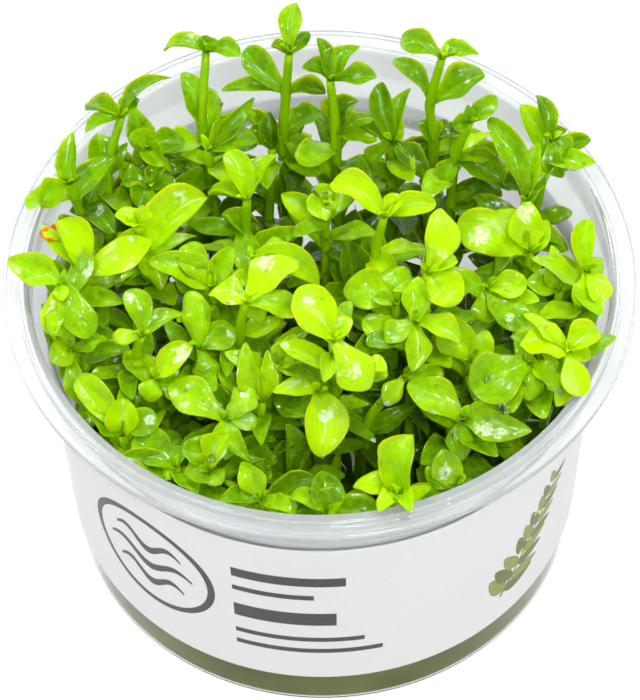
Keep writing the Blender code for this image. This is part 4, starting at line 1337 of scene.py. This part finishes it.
def wet_glint_spots(tree, plants):
    """Mark how wet the leaves' points are, from 1 in the middle of a listed spot to 0 at its edge, where the
    leaves get a painted glint and a ruffled coat.
    """
    spots = []
    for px, py, reach in WET_GLINT_SPOTS:
        middle = tree.ray_cast(CAMERA, sight_line(px, py))[0]
        if middle:
            spots.append((middle, reach * WET_GLINT_GROWTH))
    for obj in plants:
        marks = obj.data.attributes["leaf_marks"].data
        for vertex, mark in zip(obj.data.vertices, marks):
            place = vertex.co / MM
            wet = max(1 - (place - middle).length / reach for middle, reach in spots)
            if wet > 0:
                mark.color = (*mark.color[:3], wet)


def wall_mist(mat):
    """Fine condensation on the cup's wall over the sleeve's front edge."""
    rng = random.Random(SEEDS["mist"])
    shape = Shape()
    for _ in range(MIST_DROPS):
        angle = math.radians(rng.gauss(MIST_MIDDLE, MIST_SPREAD))
        height = rng.uniform(*MIST_HEIGHTS)
        out = Vector((math.sin(angle), -math.cos(angle), 0))
        place = out * wall_radius(height) + Vector((0, 0, height))
        size = rng.uniform(*MIST_RADII)
        shape.add(*dome(place, out, size, size * MIST_FLATNESS, 8, 3))
    return finish_piece(shape.build("wall_mist", [mat]), "clear_plastic")


# Materials.

class Graph:
    """A material's node tree around its Principled shader."""

    def __init__(self, name, roughness, **sockets):
        self.mat = bpy.data.materials.new(name)
        self.mat.use_nodes = True
        self.nodes = self.mat.node_tree.nodes
        self.links = self.mat.node_tree.links
        self.shader = self.nodes["Principled BSDF"]
        self.shader.inputs["Roughness"].default_value = roughness
        for socket, value in sockets.items():
            self.shader.inputs[socket.replace("_", " ")].default_value = value
        self.place = self.nodes.new("ShaderNodeTexCoord").outputs["Object"]

    def link(self, output, socket):
        self.links.new(output, socket)

    def noise(self, scale, detail=3.0, stretch=None):
        node = self.nodes.new("ShaderNodeTexNoise")
        node.inputs["Scale"].default_value = scale
        node.inputs["Detail"].default_value = detail
        place = self.place
        if stretch:
            mapping = self.nodes.new("ShaderNodeMapping")
            mapping.inputs["Scale"].default_value = stretch
            self.link(place, mapping.inputs["Vector"])
            place = mapping.outputs["Vector"]
        self.link(place, node.inputs["Vector"])
        return node.outputs["Fac"]

    def math(self, kind, first, second=None, third=None, clamp=False):
        node = self.nodes.new("ShaderNodeMath")
        node.operation = kind
        node.use_clamp = clamp
        for socket, value in zip(node.inputs, (first, second, third)):
            if value is None:
                continue
            if isinstance(value, (int, float)):
                socket.default_value = value
            else:
                self.link(value, socket)
        return node.outputs[0]

    def scaled(self, value, factor, extra, clamp=False):
        return self.math("MULTIPLY_ADD", value, factor, extra, clamp)

    def ramp(self, factor, stops):
        node = self.nodes.new("ShaderNodeValToRGB")
        elements = node.color_ramp.elements
        while len(elements) < len(stops):
            elements.new(0.5)
        for element, (place, colour) in zip(elements, stops):
            element.position = place
            element.color = (*colour, 1.0)
        self.link(factor, node.inputs["Fac"])
        return node.outputs["Color"]

    def mix(self, factor, first, second):
        node = self.nodes.new("ShaderNodeMix")
        node.data_type = "RGBA"
        for socket, value in ((node.inputs[0], factor), (node.inputs[6], first), (node.inputs[7], second)):
            if isinstance(value, (int, float)):
                socket.default_value = value
            elif isinstance(value, tuple):
                socket.default_value = (*value, 1.0)
            else:
                self.link(value, socket)
        return node.outputs[2]

    def tint(self, under, mask, amount, colour):
        """Colour laid over another by an amount where a mask says so."""
        return self.mix(self.math("MULTIPLY", mask, amount), under, colour)

    def bump(self, height, strength, distance, after=None):
        node = self.nodes.new("ShaderNodeBump")
        node.inputs["Strength"].default_value = strength
        node.inputs["Distance"].default_value = distance
        self.link(height, node.inputs["Height"])
        if after:
            self.link(after, node.inputs["Normal"])
        return node.outputs["Normal"]

    def leaf_marks(self):
        """Tone with its painted shade, way along the leaf, distance from its midrib, and how wet it is, which
        also places the painted glints.
        """
        attribute = self.nodes.new("ShaderNodeAttribute")
        attribute.attribute_name = "leaf_marks"
        split = self.nodes.new("ShaderNodeSeparateColor")
        self.link(attribute.outputs["Color"], split.inputs["Color"])
        return (*split.outputs[:3], attribute.outputs["Alpha"])

    def paint(self, colour, normal=None):
        self.link(colour, self.shader.inputs["Base Color"])
        if normal:
            self.link(normal, self.shader.inputs["Normal"])
        return self.mat


def leaf_material():
    """Mottled green with veins, a painted rim light along the leaf's edge and painted near-white glints where
    it is wet, under a wavy coat of water that breaks up into glints there.
    """
    graph = Graph("fresh_leaf", 0.42, Coat_Weight=0.8, Coat_Roughness=0.04, Coat_IOR=1.38, **LEAF_SHINE,
                  Subsurface_Weight=0.6, Subsurface_Radius=(0.9, 1.0, 0.03), Subsurface_Scale=0.0007)
    tone, along, across, wetness_and_glint = graph.leaf_marks()
    patchy = graph.scaled(graph.noise(210), 0.5, graph.scaled(graph.noise(850), 0.5, -0.5))
    green = graph.ramp(graph.math("ADD", tone, patchy, clamp=True), LEAF_GREENS)
    slanted = graph.scaled(across, 4.5, graph.math("MULTIPLY", along, 1.3))
    stripes = graph.math("SINE", graph.math("MULTIPLY", slanted, math.pi))
    vein = graph.math("POWER", graph.math("ABSOLUTE", stripes), 9)
    midrib = graph.math("SUBTRACT", 1, graph.math("MULTIPLY", across, 9), clamp=True)
    margin = graph.scaled(across, 7, -5.8, clamp=True)
    green = graph.tint(green, vein, 0.12, (0.10, 0.34, 0.0))
    green = graph.tint(green, midrib, 0.22, (0.40, 0.75, 0.0))
    # Painted rim light: a pale tint along the leaf's edge, as if light shone through it.
    green = graph.tint(green, margin, 0.08, (0.60, 0.92, 0.0))
    # Painted glints: near-white colour laid where the leaf is wet, broken up by fine noise; the same grain
    # and wetness also ruffle the coat.
    film_and_glint_grain = graph.noise(1000, 4)
    painted_glint = graph.scaled(film_and_glint_grain, 1.5, graph.scaled(wetness_and_glint, 1.15, -1.2))
    painted_glint = graph.math("MULTIPLY", painted_glint, 6, clamp=True)
    glint_breakup = graph.scaled(graph.noise(1900), 3.2, -1.0, clamp=True)
    specks = graph.scaled(graph.noise(2300, 2), 5, -2.9, clamp=True)
    green = graph.tint(green, specks, 0.3, (0.50, 0.84, 0.03))
    green = graph.tint(green, graph.math("MULTIPLY", painted_glint, glint_breakup), 0.8, (0.88, 1.0, 0.70))
    skin = graph.bump(graph.noise(2600, 2), 0.10, 0.0001)
    skin = graph.bump(graph.noise(420), 0.6, 0.0005, skin)
    skin = graph.bump(vein, 0.12, 0.0002, skin)
    ruffle = graph.math("MULTIPLY", film_and_glint_grain, graph.scaled(wetness_and_glint, 2.4, 0.5))
    wavy = graph.bump(ruffle, 0.5, 0.0005, graph.bump(graph.noise(300, 2), 0.5, 0.0009))
    graph.link(wavy, graph.shader.inputs["Coat Normal"])
    return graph.paint(green, skin)


def stem_material():
    graph = Graph("fresh_stem", 0.36, Coat_Weight=0.5, Coat_Roughness=0.08, Coat_IOR=1.36, **LEAF_SHINE,
                  Subsurface_Weight=0.7, Subsurface_Radius=(0.9, 1.0, 0.05), Subsurface_Scale=0.0012)
    streak = graph.noise(260, 3, (1, 1, 0.12))
    paleness = graph.scaled(streak, 0.4, graph.leaf_marks()[0], clamp=True)
    return graph.paint(graph.ramp(paleness, STEM_GREENS), graph.bump(streak, 0.25, 0.0003))


def plastic_material(name, clearness, roughness, ior, shade):
    graph = Graph(name, roughness, Transmission_Weight=clearness, IOR=ior)
    tones = [(place, tuple(shade * channel for channel in colour)) for place, colour in PLASTIC_HAZE]
    return graph.paint(graph.ramp(graph.noise(40, 2), tones), graph.bump(graph.noise(30, 1), 0.02, 0.0006))


def water_material():
    graph = Graph("clear_water", 0.0, Transmission_Weight=1.0, IOR=1.333)
    return graph.paint(graph.ramp(graph.noise(30, 1), ((0.0, (0.97, 1.0, 0.97)), (1.0, (1.0, 1.0, 1.0)))))


def gel_material():
    """Cloudy, yellowish jelly that swallows light, with painted shade that makes its top darker under the
    plants.
    """
    graph = Graph("root_gel", 0.12, Transmission_Weight=0.36, IOR=1.07)
    cloudy = graph.ramp(graph.noise(90, 4), GEL_GREENS)
    split = graph.nodes.new("ShaderNodeSeparateXYZ")
    graph.link(graph.place, split.inputs["Vector"])
    # Painted shade: deep green laid over the gel's top under the plants.
    painted_shade_top = graph.scaled(split.outputs["Z"], 1 / MM, 0.7 - GEL_TOP, clamp=True)
    cloudy = graph.mix(painted_shade_top, cloudy, (0.035, 0.075, 0.0))
    absorb = graph.nodes.new("ShaderNodeVolumeAbsorption")
    absorb.inputs["Color"].default_value = (0.52, 0.62, 0.10, 1.0)
    absorb.inputs["Density"].default_value = 260.0
    graph.link(absorb.outputs["Volume"], graph.nodes["Material Output"].inputs["Volume"])
    return graph.paint(cloudy, graph.bump(graph.noise(160), 0.2, 0.0008))


def root_material(name, dark, light):
    graph = Graph(name, 0.5, Coat_Weight=0.3, Coat_Roughness=0.2)
    return graph.paint(graph.ramp(graph.noise(300), ((0.3, dark), (0.7, light))))


def withered_material():
    graph = Graph("dry_leaf", 0.6, Subsurface_Weight=0.3, Subsurface_Radius=(1.0, 0.4, 0.1),
                  Subsurface_Scale=0.0008)
    grain = graph.noise(500, 4, (0.3, 1, 1))
    return graph.paint(graph.ramp(grain, DRY_TANS), graph.bump(grain, 0.6, 0.0003))


def paper_material(name, dark, light, roughness, soak, spread):
    graph = Graph(name, roughness, Specular_IOR_Level=0.25, Coat_Weight=0.05, Coat_Roughness=0.25,
                  Subsurface_Weight=soak, Subsurface_Radius=(1.0, 1.0, 1.0), Subsurface_Scale=spread)
    fibre = graph.noise(1500)
    return graph.paint(graph.ramp(fibre, ((0.3, dark), (0.7, light))), graph.bump(fibre, 0.05, 0.0001))


def sleeve_materials():
    """Bare paper, the inks in the order of their numbers, and the paper's inner side."""
    mats = [paper_material("sleeve_paper", (0.90, 0.905, 0.91), (0.93, 0.935, 0.94), *PAPER_SURFACE)]
    mats += [paper_material(*ink, *INK_SURFACE) for ink in INKS]
    mats.append(paper_material("sleeve_back", (0.88, 0.95, 0.78), (0.92, 0.97, 0.84), *INNER_PAPER_SURFACE))
    return mats


def floor_material():
    graph = Graph("pale_floor", 0.9, Specular_IOR_Level=0.0,
                  Emission_Color=WHITE, Emission_Strength=FLOOR_GLOW)
    return graph.paint(graph.ramp(graph.noise(3, 1), ((0.3, (0.10, 0.10, 0.10)), (0.7, (0.12, 0.12, 0.12)))))


# Stage.

def floor_sheet():
    mesh = bpy.data.meshes.new("floor")
    corners = [(-1, -1, 0), (1, -1, 0), (1, 1, 0), (-1, 1, 0)]
    mesh.from_pydata([Vector(corner) * FLOOR_HALF for corner in corners], [], [(0, 1, 2, 3)])
    mesh.materials.append(floor_material())
    obj = bpy.data.objects.new("floor", mesh)
    obj.location.z = -FLOOR_SINK
    bpy.context.scene.collection.objects.link(obj)


def softbox(name, place, size, radiance):
    """Square area light at a place in metres, aimed at the plants."""
    lamp = bpy.data.lights.new(name, "AREA")
    lamp.shape = "SQUARE"
    lamp.size = size
    lamp.energy = radiance * math.pi * size * size
    obj = bpy.data.objects.new(name, lamp)
    obj.location = place
    obj.rotation_mode = "QUATERNION"
    obj.rotation_quaternion = (LIGHT_AIM - Vector(place)).to_track_quat("-Z", "Y")
    bpy.context.scene.collection.objects.link(obj)


def studio():
    world = bpy.data.worlds.new("soft_white")
    world.use_nodes = True
    nodes = world.node_tree.nodes
    links = world.node_tree.links
    split = nodes.new("ShaderNodeSeparateXYZ")
    links.new(nodes.new("ShaderNodeTexCoord").outputs["Generated"], split.inputs["Vector"])
    fade = nodes.new("ShaderNodeMapRange")
    links.new(split.outputs["Z"], fade.inputs["Value"])
    for socket, value in zip(("From Min", "From Max", "To Min", "To Max"), SKY_TURN + (LOW_SKY, HIGH_SKY)):
        fade.inputs[socket].default_value = value
    sky = nodes["Background"]
    sky.inputs["Color"].default_value = WHITE
    links.new(fade.outputs["Result"], sky.inputs["Strength"])
    bpy.context.scene.world = world
    bpy.context.scene.view_settings.view_transform = "Standard"
    for name, place, size, radiance in SOFTBOXES:
        softbox(name, place, size, radiance)
    floor_sheet()


def photo_camera():
    lens = bpy.data.cameras.new("photo_camera")
    lens.sensor_width = 36.0
    lens.lens = PHOTO_FOCAL * lens.sensor_width / PHOTO_HEIGHT
    lens.clip_end = 10
    obj = bpy.data.objects.new("photo_camera", lens)
    axes = Matrix((VIEW_RIGHT, VIEW_UP, -VIEW_FORWARD)).transposed().to_4x4()
    axes.translation = CAMERA * MM
    obj.matrix_world = axes
    bpy.context.scene.collection.objects.link(obj)
    bpy.context.scene.camera = obj


# The whole.

def solids_space():
    """The space that the cup, gel and withered leaf take, from which the plantlets keep clear."""
    space = Space()
    space.add("cup", *turned(cup_profile(), CUP_SEGMENTS))
    inner_low = wall_radius(3.6) - WALL - GAP
    inner_high = wall_radius(GEL_TOP) - WALL - GAP
    gel = [(0, GEL_BOTTOM), (FOOT_RADIUS - 1.8, GEL_BOTTOM), (inner_low, 3.6),
           (inner_high, GEL_TOP), (0, GEL_TOP)]
    space.add("gel", *turned(gel, CUP_SEGMENTS))
    space.add("withered_leaf", *blade_solid(withered_blade()))
    return space


def main():
    studio()
    photo_camera()
    space = solids_space()
    stems, blades = grow_plantlets(space)
    more = grow_undergrowth(space, stems)
    green = [leaf_material(), stem_material()]
    plants = []
    for number, (name, points) in enumerate(stems.items()):
        rng = random.Random(SEEDS["plantlets"] + number)
        plants.append(dress_plantlet(name, points, blades[name], more[name], green, rng))
    clear_cup([plastic_material(*plastic) for plastic in PLASTICS])
    sleeve(sleeve_materials())
    gel_piece(gel_material())
    roots_in_gel(stems, root_material("dark_root", (0.035, 0.045, 0.015), (0.12, 0.13, 0.05)))
    air_roots(stems, root_material("pale_root", (0.25, 0.30, 0.08), (0.70, 0.72, 0.38)))
    withered_piece([withered_material()])
    water = water_material()
    canopy = canopy_tree(plants)
    water_drops(canopy, water)
    wet_glint_spots(canopy, plants)
    wall_mist(water)


main()
